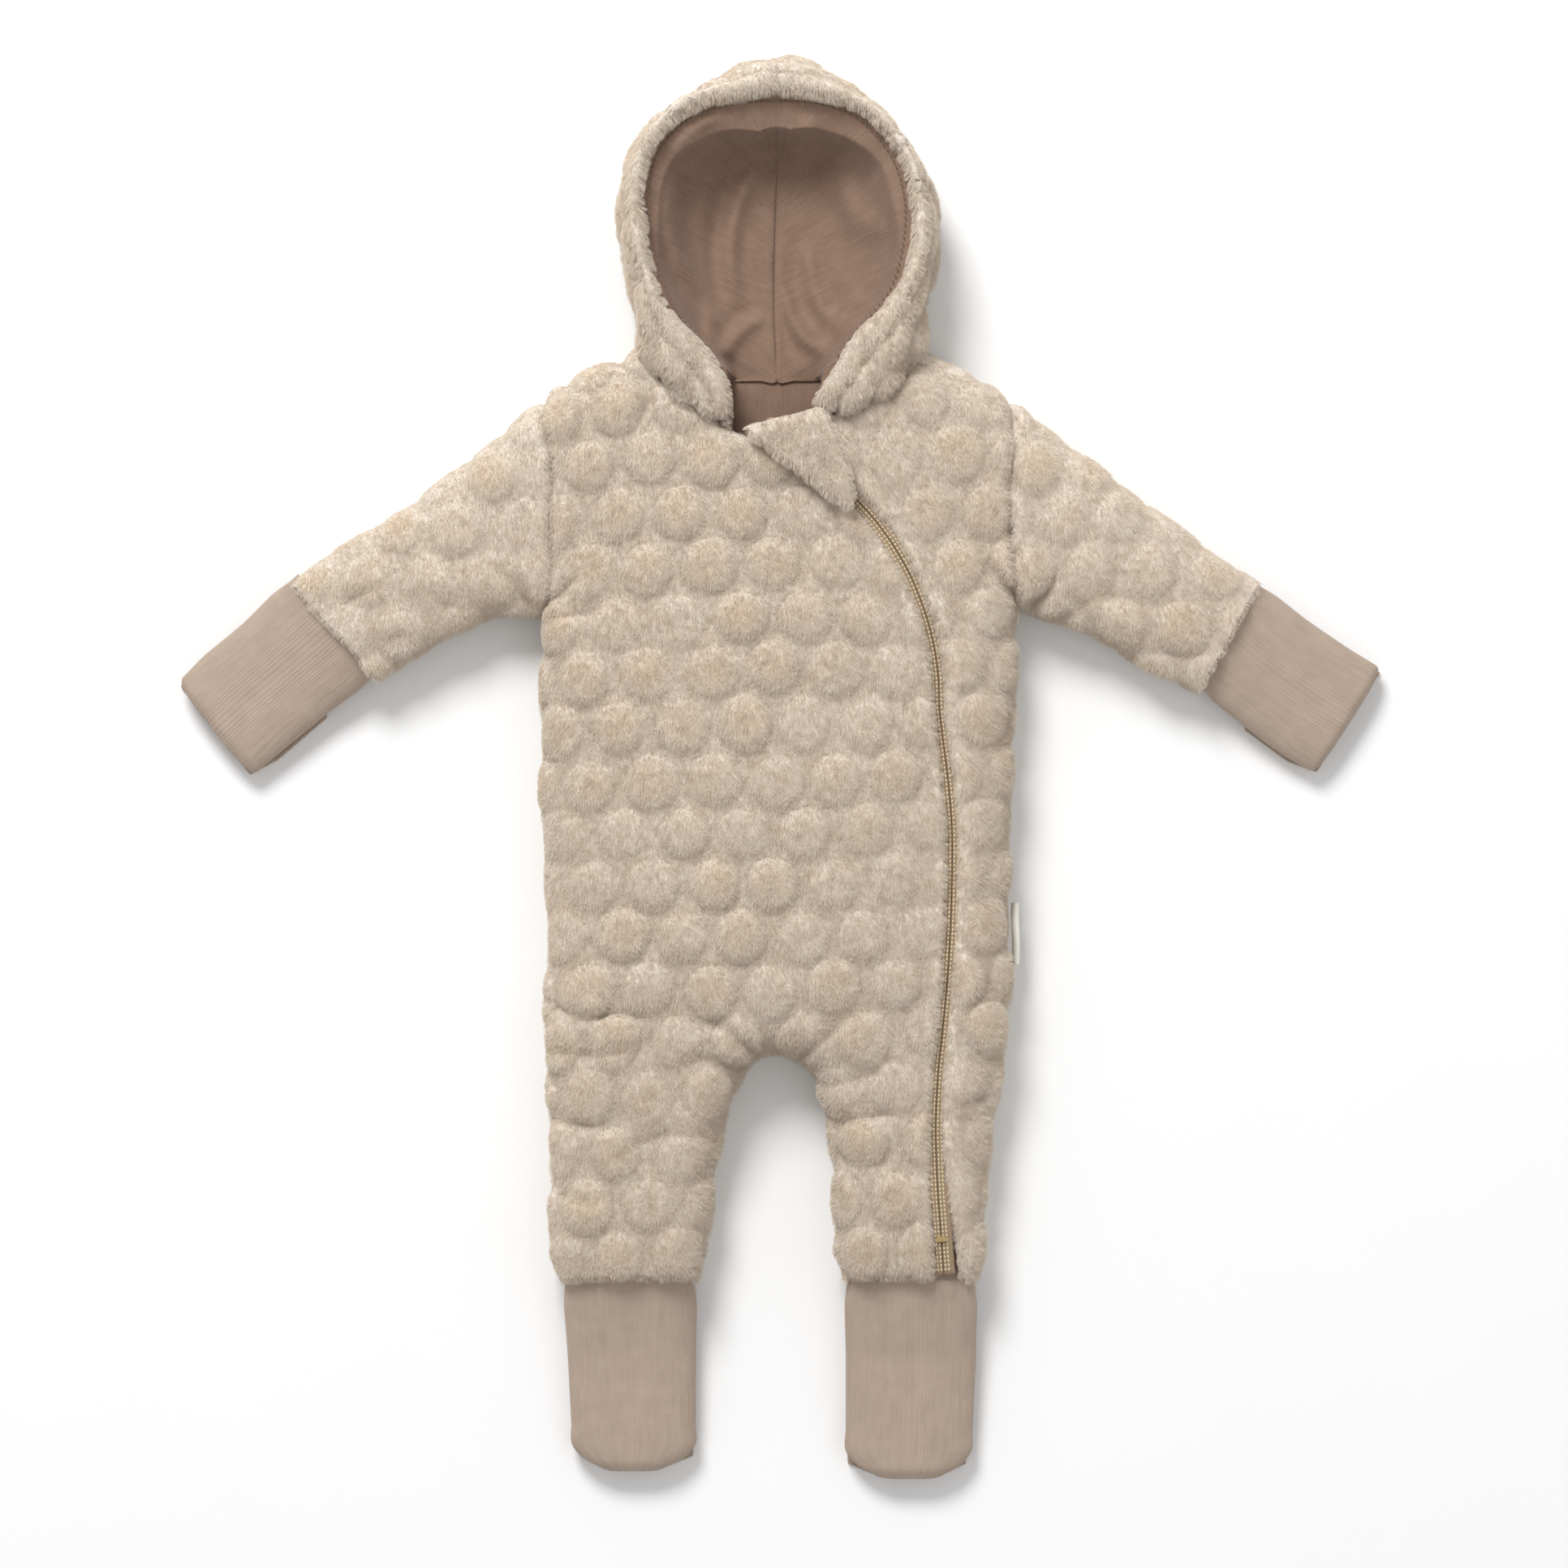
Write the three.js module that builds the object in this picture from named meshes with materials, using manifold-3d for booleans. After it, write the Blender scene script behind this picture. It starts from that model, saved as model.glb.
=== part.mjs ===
// Baby's hooded plush overall with a jersey lining, lying flat on its back.
// Millimetres. +Z is up, away from the table. +Y runs from the feet to the hood.
// "right" and "left" are the wearer's, so right is -X and left is +X.
// The whole garment is four nested skins (outside of the plush, inside of the plush,
// outside of the lining, inside of the lining), which are then cut into panels at the seams.
import * as THREE from 'three';
import { mergeVertices } from 'three/addons/utils/BufferGeometryUtils.js';
import Module from 'manifold-3d';

const wasm = await Module();
wasm.setup();

// Cloth
const PLUSH = 6.0;
const LINING = 2.0;
const GAP = 0.3;
const SIDE_SEAM_LEVEL = 19;
const HEM_Y = -250.5;

// Zip
const SLOT_WIDTH = 9.6;
const TAPE_WIDTH = 4.3;
const TAPE_THICKNESS = 0.8;
const TAPE_DEPTH = 5.0;
const ZIP_CREST = 46.5;
const COIL_WIDTH = 1.5;
const COIL_HEIGHT = 1.3;
const ARC_CENTRE = [-63, 34];
const ARC_RADIUS = 141.5;
const ARC_TOP_DEG = 69;
const ARC_END_DEG = -2.4;
const ARC_STEPS = 12;
const SLIDER_REST_DEG = 65;
const SLIDER_LENGTH = 9.5;
const SLIDER_WIDTH = 8.2;
const PULL_LENGTH = 17;

// Turn-over flaps of the cuffs
const FLAP_THICKNESS = 1.8;
const CUFF_CLOTH = 1.8;
const CUFF_FLOOR = FLAP_THICKNESS + GAP;
const FLAP_REACH = 0.9;
const HOOD_TOP_Y = 351.7;

// Chin guard, a triangle of plush sewn down along the zip's right-hand tape
const GUARD_SEAM_TOP = [-17, 168.5];
const GUARD_SEAM_TIP = [35.5, 129];
const GUARD_NECK_CORNER = [20, 177.5];
const GUARD_THICKNESS = 3.4;
const GUARD_LINING = 1.2;
const GUARD_LEVEL = 50.4;

const SECTION_POINTS = 16;
const SIDE_POWER = 0.75;
const TOP_POWER = 0.8;
const FLOOR_POWER = 0.7;
const SEAM_SHARE = 0.42;

// One section of a tube that lies on the table: flat below, domed above.
// a and b are the two side edges, in plan.
function section(station, inset) {
  const [a, b, top, bottom = 0] = station;
  const span = Math.hypot(b[0] - a[0], b[1] - a[1]);
  const half = span / 2 - inset;
  const along = [(b[0] - a[0]) / span, (b[1] - a[1]) / span];
  const middle = [(a[0] + b[0]) / 2, (a[1] + b[1]) / 2];
  const low = bottom + inset;
  const high = top - inset;
  const seam = bottom + SEAM_SHARE * (top - bottom);
  const ring = [];
  for (let i = 0; i < SECTION_POINTS; i += 1) {
    const angle = (2 * Math.PI * i) / SECTION_POINTS;
    const c = Math.cos(angle);
    const s = Math.sin(angle);
    const v = half * Math.sign(c) * Math.abs(c) ** SIDE_POWER;
    const up = seam + (high - seam) * Math.abs(s) ** TOP_POWER;
    const down = Math.max(low, seam - 1.25 * (seam - low) * Math.abs(s) ** FLOOR_POWER);
    ring.push(new THREE.Vector3(
      middle[0] + along[0] * v,
      middle[1] + along[1] * v,
      s >= 0 ? up : down,
    ));
  }
  return ring;
}

// A closed solid through rings of equal length.
function loft(rings) {
  const count = rings[0].length;
  const points = rings.flat();
  const faces = [];
  for (let r = 0; r + 1 < rings.length; r += 1) {
    for (let i = 0; i < count; i += 1) {
      const p = r * count + i;
      const q = r * count + ((i + 1) % count);
      faces.push(p, q, q + count, p, q + count, p + count);
    }
  }
  for (const [ring, start, flip] of [
    [rings[0], 0, true],
    [rings.at(-1), (rings.length - 1) * count, false],
  ]) {
    const centre = new THREE.Vector3();
    ring.forEach((p) => centre.addScaledVector(p, 1 / count));
    const hub = points.push(centre) - 1;
    for (let i = 0; i < count; i += 1) {
      const p = start + i;
      const q = start + ((i + 1) % count);
      faces.push(hub, flip ? q : p, flip ? p : q);
    }
  }
  const geometry = new THREE.BufferGeometry().setFromPoints(points);
  geometry.setIndex(faces);
  return solid(geometry);
}

// A closed three.js geometry as a solid that can be joined and cut, always facing outwards.
function solid(geometry) {
  const clean = geometry.index ? geometry.clone() : geometry;
  clean.deleteAttribute('normal');
  clean.deleteAttribute('uv');
  const merged = mergeVertices(clean, 1e-4);
  const triVerts = Uint32Array.from(merged.index.array);
  const vertProperties = Float32Array.from(merged.attributes.position.array);
  const body = new wasm.Manifold(new wasm.Mesh({ numProp: 3, vertProperties, triVerts }));
  if (body.volume() > 0) return body;
  for (let i = 0; i < triVerts.length; i += 3) {
    [triVerts[i], triVerts[i + 1]] = [triVerts[i + 1], triVerts[i]];
  }
  return new wasm.Manifold(new wasm.Mesh({ numProp: 3, vertProperties, triVerts }));
}

function tube(stations, inset) {
  return loft(stations.map((station) => section(station, inset)));
}

function join(parts) {
  return parts.reduce((sum, part) => sum.add(part));
}

// An upright prism on an outline of [x, y] points or a THREE.Shape.
function prism(outline, low, high, segments = 8) {
  const shape = outline instanceof THREE.Shape
    ? outline
    : new THREE.Shape(outline.map(([x, y]) => new THREE.Vector2(x, y)));
  const geometry = new THREE.ExtrudeGeometry(shape, {
    depth: high - low,
    bevelEnabled: false,
    curveSegments: segments,
  });
  geometry.translate(0, 0, low);
  return solid(geometry);
}

function box(x0, x1, y0, y1, z0, z1) {
  const geometry = new THREE.BoxGeometry(x1 - x0, y1 - y0, z1 - z0);
  geometry.translate((x0 + x1) / 2, (y0 + y1) / 2, (z0 + z1) / 2);
  return solid(geometry);
}

// Rows of the torso and legs: [y, right edge x, left edge x, top, bottom].
function rows(list) {
  return list.map(([y, x0, x1, top, bottom]) => [[x0, y], [x1, y], top, bottom]);
}

const TORSO = [
  [206, -71, 69, 34, 4],
  [199, -94, 92, 39, 2],
  [188, -113, 111, 43, 0],
  [160, -118, 116, 47, 0],
  [82, -117, 116, 50, 0],
  [-20, -119, 114, 51, 0],
  [-90, -115, 113, 49, 0],
  [-128, -115.5, 110, 45, 0],
  [-140, -115, 110, 31, 9],
];
const RIGHT_LEG = [
  [-100, -115, -8, 46, 0],
  [-140, -115, -13, 43, 0],
  [-165, -113, -25.5, 42, 0],
  [-196, -113.2, -33.5, 41, 0],
  [-236, -115.5, -36, 41, 0],
  [-251, -109, -40, 30, 1],
  [-262, -106, -43, 24, 1],
];
const LEFT_LEG = [
  [-100, 1, 113, 46, 0],
  [-140, 9, 110, 43, 0],
  [-165, 22.5, 107, 42, 0],
  [-196, 28, 103, 41, 0],
  [-236, 27, 101, 41, 0],
  [-251, 31, 99, 30, 1],
  [-262, 33, 96, 24, 1],
];
const HOOD = [
  [150, -56, 55, 44, 0],
  [185, -66, 65, 50, 0],
  [208, -67.5, 66, 57, 0],
  [232, -70.5, 69, 65, 0],
  [258, -76, 76, 71, 0],
  [285, -77.5, 73, 75, 0],
  [304, -73, 64, 73, 0],
  [320, -62, 54, 67, 0],
  [334, -42, 38, 59, 1],
  [345, -22, 21, 49, 5],
  [HOOD_TOP_Y, -9, 9, 36, 12],
];
const RIGHT_SLEEVE = [
  [[-64, 198], [-64, 92], 40, 0],
  [[-115.6, 189], [-113, 82], 41, 0],
  [[-142, 164], [-140, 79], 39, 0],
  [[-186, 129.5], [-166, 66], 37, 0],
  [[-220, 110], [-185, 54], 35, 0],
  [[-244.2, 95.3], [-199.4, 46.8], 26, 1],
  [[-252, 88], [-207.5, 39], 22, 1],
];
const LEFT_SLEEVE = [
  [[62, 194], [62, 90], 40, 0],
  [[112.8, 184], [116, 82], 41, 0],
  [[143, 160.5], [133, 78.5], 39, 0],
  [[185, 130.5], [164, 61.5], 37, 0],
  [[214, 110], [187, 49], 35, 0],
  [[237, 94], [207.4, 40.6], 26, 1],
  [[246, 89], [217, 36], 22, 1],
];

// Both sleeves run on past their hems, and are cut off square there.
function skin(inset) {
  const torso = TORSO.map(([y, ...rest]) => [Math.max(y, -140 + inset), ...rest]);
  const hood = HOOD.map(([y, ...rest]) => [Math.min(y, HOOD_TOP_Y - inset), ...rest]);
  return join([
    tube(rows(torso), inset),
    tube(rows(hood), inset),
    tube(rows(RIGHT_LEG), inset),
    tube(rows(LEFT_LEG), inset),
    tube(RIGHT_SLEEVE, inset),
    tube(LEFT_SLEEVE, inset),
  ]);
}

// Height of the front's outside surface on the torso and legs.
function frontLevel(x, y) {
  let level = 0;
  for (const list of [TORSO, RIGHT_LEG, LEFT_LEG]) {
    for (let i = 0; i + 1 < list.length; i += 1) {
      const [upper, lower] = [list[i], list[i + 1]];
      if (y <= upper[0] && y >= lower[0]) {
        const t = (upper[0] - y) / (upper[0] - lower[0]);
        const [x0, x1, top, bottom] = [1, 2, 3, 4].map((k) => upper[k] + t * (lower[k] - upper[k]));
        const share = Math.abs(x - (x0 + x1) / 2) / ((x1 - x0) / 2);
        if (share < 1) {
          const s = Math.sqrt(1 - share ** (2 / SIDE_POWER));
          const seam = bottom + SEAM_SHARE * (top - bottom);
          level = Math.max(level, seam + (top - seam) * s ** TOP_POWER);
        }
      }
    }
  }
  return level;
}

// The zip lies under the front's surface, and level along the crown of the chest,
// so that its slider can follow the arc.
function zipLevel(x, y) {
  return Math.min(frontLevel(x, y), ZIP_CREST);
}

// The zip starts at the neck, curves round the chest on one arc and drops down the left leg.
function zipPath() {
  const points = [];
  for (let i = 0; i <= ARC_STEPS; i += 1) {
    const share = i / ARC_STEPS;
    const angle = THREE.MathUtils.degToRad(ARC_TOP_DEG + (ARC_END_DEG - ARC_TOP_DEG) * share);
    points.push(new THREE.Vector2(
      ARC_CENTRE[0] + ARC_RADIUS * Math.cos(angle),
      ARC_CENTRE[1] + ARC_RADIUS * Math.sin(angle),
    ));
  }
  const lower = new THREE.SplineCurve([
    points.at(-1),
    new THREE.Vector2(84.5, -26),
    new THREE.Vector2(83, -95),
    new THREE.Vector2(76.5, -172),
    new THREE.Vector2(81, HEM_Y),
  ]);
  lower.getPoints(12).slice(1).forEach((p) => points.push(p));
  return points;
}

// The unit vector across the path, towards the wearer's left.
function across(path, i) {
  const before = path[Math.max(i - 1, 0)];
  const after = path[Math.min(i + 1, path.length - 1)];
  const d = after.clone().sub(before).normalize();
  return new THREE.Vector2(-d.y, d.x);
}

function zipSlot(path, width) {
  const above = path[0].clone().add(new THREE.Vector2(-16, 11));
  const below = path.at(-1).clone().add(new THREE.Vector2(1, -30));
  const line = [above, ...path, below];
  const one = line.map((p, i) => p.clone().addScaledVector(across(line, i), width / 2));
  const two = line.map((p, i) => p.clone().addScaledVector(across(line, i), -width / 2));
  return prism([...one, ...two.reverse()].map((p) => [p.x, p.y]), 12, 90);
}

// A strip along the zip, from one offset to another across it and at a depth below the plush.
function zipStrip(path, near, far, depth, thickness) {
  return loft(path.map((p, i) => {
    const side = across(path, i);
    const level = zipLevel(p.x, p.y) - depth;
    const corner = (offset, z) => new THREE.Vector3(p.x + side.x * offset, p.y + side.y * offset, z);
    return [
      corner(near, level - thickness),
      corner(far, level - thickness),
      corner(far, level),
      corner(near, level),
    ];
  }));
}

// The hood's opening, with its narrow end at the throat.
function hoodOpening() {
  const shape = new THREE.Shape();
  shape.moveTo(-24, 167);
  shape.bezierCurveTo(-26, 200, -68, 220, -68, 282);
  shape.bezierCurveTo(-68, 316, -34, 332, 0, 332);
  shape.bezierCurveTo(36, 332, 65, 308, 65, 272);
  shape.bezierCurveTo(65, 226, 20, 205, 16.5, 176);
  shape.closePath();
  return shape;
}

// Everything on the hood's side of the neck seam: low behind the neck, a curve in front.
function hoodZone(grow) {
  const front = new THREE.Shape();
  front.moveTo(-120, 420);
  front.lineTo(-120, 208 - grow);
  front.lineTo(-68 - grow, 208 - grow);
  front.bezierCurveTo(-60 - grow, 182 - grow, -30, 169 - grow, -2, 170 - grow);
  front.bezierCurveTo(30, 172 - grow, 58 + grow, 184 - grow, 68 + grow, 208 - grow);
  front.lineTo(120, 208 - grow);
  front.lineTo(120, 420);
  front.closePath();
  const back = box(-120, 120, 194 - grow, 420, -5, SIDE_SEAM_LEVEL + 1);
  return prism(front, SIDE_SEAM_LEVEL, 120, 5).add(back);
}

function sleeveZones(grow) {
  const right = prism([
    [-115.6 + grow, 260],
    [-115.6 + grow, 189],
    [-113 + grow, 84 - grow],
    [-126, 66 - grow],
    [-400, -60],
    [-400, 260],
  ], -5, 120);
  const left = prism([
    [112.8 - grow, 260],
    [400, 260],
    [400, -60],
    [127, 66 - grow],
    [115.5 - grow, 84 - grow],
    [112.8 - grow, 184],
  ], -5, 120);
  return [right, left];
}

// What lies beyond a hem that runs from a to b in plan, on its left-hand side.
function beyond(a, b, reach = 120) {
  const d = new THREE.Vector2(b[0] - a[0], b[1] - a[1]).normalize();
  const out = new THREE.Vector2(-d.y, d.x);
  const p = new THREE.Vector2(...a).addScaledVector(d, -40);
  const q = new THREE.Vector2(...b).addScaledVector(d, 40);
  const far = (v) => v.clone().addScaledVector(out, reach);
  return prism([p, q, far(q), far(p)].map((v) => [v.x, v.y]), -5, 120);
}

const object = new THREE.Group();
object.name = 'plush_overall';

const LOOKS = {
  plush: new THREE.MeshStandardMaterial({ color: 0xd3c2ac, roughness: 0.95, metalness: 0 }),
  jersey: new THREE.MeshStandardMaterial({ color: 0xbda898, roughness: 0.9, metalness: 0 }),
  lining: new THREE.MeshStandardMaterial({ color: 0x9d8573, roughness: 0.9, metalness: 0 }),
  tape: new THREE.MeshStandardMaterial({ color: 0x978061, roughness: 0.8, metalness: 0 }),
  coil: new THREE.MeshStandardMaterial({ color: 0x8c7655, roughness: 0.5, metalness: 0 }),
  brass: new THREE.MeshStandardMaterial({ color: 0xb59a62, roughness: 0.35, metalness: 0.9 }),
  label: new THREE.MeshStandardMaterial({ color: 0xe6e1d8, roughness: 0.7, metalness: 0 }),
};

// Adds one piece. Slivers that a cut leaves behind are dropped, and the piece stays one body.
function add(name, body, look) {
  const parts = body.decompose();
  const piece = parts.reduce((best, p) => (p.volume() > best.volume() ? p : best));
  const mesh = piece.getMesh();
  const points = [];
  for (let i = 0; i < mesh.vertProperties.length; i += mesh.numProp) {
    points.push(new THREE.Vector3(...mesh.vertProperties.slice(i, i + 3)));
  }
  const geometry = new THREE.BufferGeometry().setFromPoints(points);
  geometry.setIndex(Array.from(mesh.triVerts));
  geometry.computeVertexNormals();
  const node = new THREE.Mesh(geometry, LOOKS[look].clone());
  node.name = name;
  object.add(node);
}

// Plush and lining, hollow and open at the hood, sleeve ends and leg ends
const hems = join([
  beyond([-199.4, 46.8], [-244.2, 95.3]),
  beyond([237, 94], [207.4, 40.6]),
  box(-150, 150, -300, HEM_Y, -5, 90),
]);
const opening = prism(hoodOpening(), 30, 120, 6);
const plush = skin(0).subtract(skin(PLUSH)).subtract(hems).subtract(opening);
const lining = skin(PLUSH + GAP)
  .subtract(skin(PLUSH + GAP + LINING))
  .subtract(hems)
  .subtract(opening);

const path = zipPath();
const slot = zipSlot(path, SLOT_WIDTH);
const [rightSleeveZone, leftSleeveZone] = sleeveZones(0);
const outsideTorso = hoodZone(GAP).add(join(sleeveZones(GAP)));
const HOOD_SEAM_X = -1.6;
const aboveSeam = box(-400, 400, -400, 400, SIDE_SEAM_LEVEL + GAP, 120);
const belowSeam = box(-400, 400, -400, 400, -5, SIDE_SEAM_LEVEL);
const zipSideRight = prism([
  [-400, -400],
  ...zipPath().reverse().map((p) => [p.x, p.y]),
  [-40, 400],
  [-400, 400],
], -5, 120);

for (const [cloth, look, panel, sleeve, hoodPiece] of [
  [plush, 'plush', 'panel', 'sleeve', 'hood_shell'],
  [lining, 'lining', 'lining', 'sleeve_lining', 'hood_lining'],
]) {
  const torso = cloth.subtract(outsideTorso);
  const front = torso.intersect(aboveSeam).subtract(slot);
  add(`front_${panel}_right`, front.intersect(zipSideRight), look);
  add(`front_${panel}_left`, front.subtract(zipSideRight), look);
  add(`back_${panel}`, torso.intersect(belowSeam), look);
  add(`${sleeve}_right`, cloth.intersect(rightSleeveZone), look);
  add(`${sleeve}_left`, cloth.intersect(leftSleeveZone), look);
  const hood = cloth.intersect(hoodZone(0));
  add(`${hoodPiece}_right`, hood.intersect(box(-200, HOOD_SEAM_X, 0, 400, -5, 120)), look);
  add(`${hoodPiece}_left`, hood.intersect(box(HOOD_SEAM_X + GAP, 200, 0, 400, -5, 120)), look);
}

// Cuffs: flattened jersey tubes, open at both ends, lying on their turn-over flaps
const RIGHT_HAND = [
  [[-244.4, 94.9], [-199.8, 46.5], 25, CUFF_FLOOR],
  [[-266.5, 73], [-224, 29], 20, CUFF_FLOOR],
  [[-285, 58], [-245, 12], 18, CUFF_FLOOR],
  [[-299.4, 43.6], [-262.8, -3], 16, CUFF_FLOOR],
];
const LEFT_HAND = [
  [[237.6, 93.5], [208, 40.1], 25, CUFF_FLOOR],
  [[262, 74.5], [230, 22.5], 20, CUFF_FLOOR],
  [[282, 61], [248, 9], 18, CUFF_FLOOR],
  [[299.4, 50.4], [266.2, -1.6], 16, CUFF_FLOOR],
];
const RIGHT_FOOT = rows([
  [HEM_Y - GAP, -108, -40.8, 29, CUFF_FLOOR],
  [-290, -105.2, -41.6, 20, CUFF_FLOOR],
  [-334, -103, -42, 17, CUFF_FLOOR],
  [-343, -99, -46, 16.4, CUFF_FLOOR],
  [-347, -90, -56, 16, CUFF_FLOOR],
]);
const LEFT_FOOT = rows([
  [HEM_Y - GAP, 31.6, 98, 29, CUFF_FLOOR],
  [-290, 32.6, 97.2, 20, CUFF_FLOOR],
  [-337, 32.6, 95, 17, CUFF_FLOOR],
  [-346.5, 37, 91, 16.4, CUFF_FLOOR],
  [-350.8, 46, 82, 16, CUFF_FLOOR],
]);

// The bore runs on past both ends, so the tube is open.
function cuff(stations) {
  const far = (end, next) => [
    [2 * end[0][0] - next[0][0], 2 * end[0][1] - next[0][1]],
    [2 * end[1][0] - next[1][0], 2 * end[1][1] - next[1][1]],
    end[2],
    end[3],
  ];
  const bore = [
    far(stations[0], stations[1]),
    ...stations,
    far(stations.at(-1), stations.at(-2)),
  ];
  return tube(stations, 0).subtract(tube(bore, CUFF_CLOTH));
}

add('hand_cuff_right', cuff(RIGHT_HAND), 'jersey');
add('hand_cuff_left', cuff(LEFT_HAND), 'jersey');
add('foot_cuff_right', cuff(RIGHT_FOOT), 'jersey');
add('foot_cuff_left', cuff(LEFT_FOOT), 'jersey');

// Turn-over flaps, under the cuffs. Each one's root runs just past its cuff's end,
// and the rest of its outline is given from there.
function flap(end, rest) {
  const [a, b] = end;
  const d = new THREE.Vector2(b[0] - a[0], b[1] - a[1]).normalize();
  const out = new THREE.Vector2(d.y, -d.x);
  if (out.y > 0) out.negate();
  const root = [a, b].map(([x, y]) => [x + out.x * FLAP_REACH, y + out.y * FLAP_REACH]);
  return prism([...root, ...rest], 0, FLAP_THICKNESS);
}
const endOf = (stations) => stations.at(-1);
add('mitten_flap_right', flap(endOf(RIGHT_HAND), [[-249, 4.4], [-223, 26.6], [-259, 74]]), 'jersey');
add('mitten_flap_left', flap(endOf(LEFT_HAND), [[252, 3.2], [229, 20], [258, 76]]), 'jersey');
add('bootie_flap_right', flap(endOf(RIGHT_FOOT), [
  [-41.6, -342], [-40.6, -260], [-104, -261], [-101, -342],
]), 'jersey');
add('bootie_flap_left', flap(endOf(LEFT_FOOT), [
  [94, -346], [96, -263], [31.4, -262], [32.2, -346],
]), 'jersey');

// Zip, with its coils on the inside
add('zip_tape_right', zipStrip(path, -0.2, -0.2 - TAPE_WIDTH, TAPE_DEPTH, TAPE_THICKNESS), 'tape');
add('zip_tape_left', zipStrip(path, 0.2, 0.2 + TAPE_WIDTH, TAPE_DEPTH, TAPE_THICKNESS), 'tape');
const coilDepth = TAPE_DEPTH + TAPE_THICKNESS + 0.2;
add('zip_coil_right', zipStrip(path, -0.2, -0.2 - COIL_WIDTH, coilDepth, COIL_HEIGHT), 'coil');
add('zip_coil_left', zipStrip(path, 0.2, 0.2 + COIL_WIDTH, coilDepth, COIL_HEIGHT), 'coil');

// Places a solid built along +X at the slider's spot on the arc, +X pointing down the zip.
function onArc(body, degrees, level) {
  const angle = THREE.MathUtils.degToRad(degrees);
  const x = ARC_CENTRE[0] + ARC_RADIUS * Math.cos(angle);
  const y = ARC_CENTRE[1] + ARC_RADIUS * Math.sin(angle);
  return body.rotate([0, 0, degrees - 90]).translate([x, y, level]);
}

const SLIDER_CLEARANCE = 0.5;
const sliderBase = ZIP_CREST - TAPE_DEPTH + SLIDER_CLEARANCE;
const PLATE = 1.1;
const BAR_LEVEL = PLATE + 1.9;
const EYE_X = -1.5;

// Slider: a tapered plate with two posts and a bar across them
function slider() {
  const half = SLIDER_LENGTH / 2;
  const wide = SLIDER_WIDTH / 2;
  const plate = prism([
    [-half, -wide], [half - 2, -wide], [half, -wide + 1.6],
    [half, wide - 1.6], [half - 2, wide], [-half, wide],
  ], 0, PLATE);
  const bar = new THREE.CylinderGeometry(0.5, 0.5, 5.2, 10);
  const crossbar = solid(bar).translate([EYE_X, 0, BAR_LEVEL]);
  const post = (y0, y1) => box(EYE_X - 0.9, EYE_X + 0.9, y0, y1, PLATE - 0.2, BAR_LEVEL + 0.6);
  return join([plate, crossbar, post(1.6, 2.7), post(-2.7, -1.6)]);
}

// Pull tab with an eye round the bar
function pull() {
  const eye = new THREE.CylinderGeometry(1.4, 1.4, 2.4, 16);
  const hole = new THREE.CylinderGeometry(0.85, 0.85, 6, 16);
  const neck = box(0.9, 4, -1.2, 1.2, -0.6, 0.6);
  const tab = prism([
    [3.6, -1.2], [5, -2.2], [PULL_LENGTH - 1.4, -2.5], [PULL_LENGTH, -1.2],
    [PULL_LENGTH, 1.2], [PULL_LENGTH - 1.4, 2.5], [5, 2.2], [3.6, 1.2],
  ], -0.6, 0.6);
  return join([solid(eye), neck, tab]).subtract(solid(hole)).translate([EYE_X, 0, BAR_LEVEL]);
}

add('zip_slider', onArc(slider(), SLIDER_REST_DEG, sliderBase), 'brass');
add('zip_pull', onArc(pull(), SLIDER_REST_DEG, sliderBase), 'brass');

// Stops: one at the top of each tape, and one across both above the leg's hem
function stopAt(i, offset, width) {
  const p = path[i];
  const side = across(path, i);
  const turn = THREE.MathUtils.radToDeg(Math.atan2(side.y, side.x)) - 90;
  const level = zipLevel(p.x, p.y) - TAPE_DEPTH + GAP;
  return box(-1.3, 1.3, offset - width / 2, offset + width / 2, 0, 0.9)
    .rotate([0, 0, turn])
    .translate([p.x, p.y, level]);
}
const STOP_INSET = [1.5, -0.7, 0];
add('zip_top_stop_right', stopAt(0, -1.4, 1.6).translate(STOP_INSET), 'brass');
add('zip_top_stop_left', stopAt(0, 1.4, 1.6).translate(STOP_INSET), 'brass');
add('zip_bottom_stop', stopAt(path.length - 2, 0, 4.6), 'brass');

// Chin guard: plush outside, jersey inside, over the top of the zip
function guardOutline(grow) {
  const shape = new THREE.Shape();
  shape.moveTo(GUARD_SEAM_TOP[0], GUARD_SEAM_TOP[1]);
  shape.lineTo(GUARD_SEAM_TIP[0], GUARD_SEAM_TIP[1]);
  shape.quadraticCurveTo(34 + grow, 152, GUARD_NECK_CORNER[0] + grow, GUARD_NECK_CORNER[1]);
  shape.lineTo(GUARD_NECK_CORNER[0] - 6, GUARD_NECK_CORNER[1] - 1);
  shape.closePath();
  return shape;
}
const guardBottom = GUARD_LEVEL + GUARD_LINING + GAP;
add('chin_guard_lining', prism(guardOutline(-1.5), GUARD_LEVEL, GUARD_LEVEL + GUARD_LINING), 'lining');
add('chin_guard', prism(guardOutline(0), guardBottom, guardBottom + GUARD_THICKNESS), 'plush');

// Folded ribbon label in the left side seam
const LABEL_X = 114.5;
add('side_label', box(LABEL_X, LABEL_X + 4, -95.8, -65, 18, 19.4), 'label');

export default object;
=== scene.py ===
"""A baby's hooded plush overall, lying flat: the looks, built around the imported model.

Lengths are in millimetres until a mesh is made. Right and left are the wearer's: right is -X.
"""
import math

import bmesh
import bpy
import numpy as np
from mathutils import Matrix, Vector
from mathutils.bvhtree import BVHTree
from mathutils.kdtree import KDTree


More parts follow.
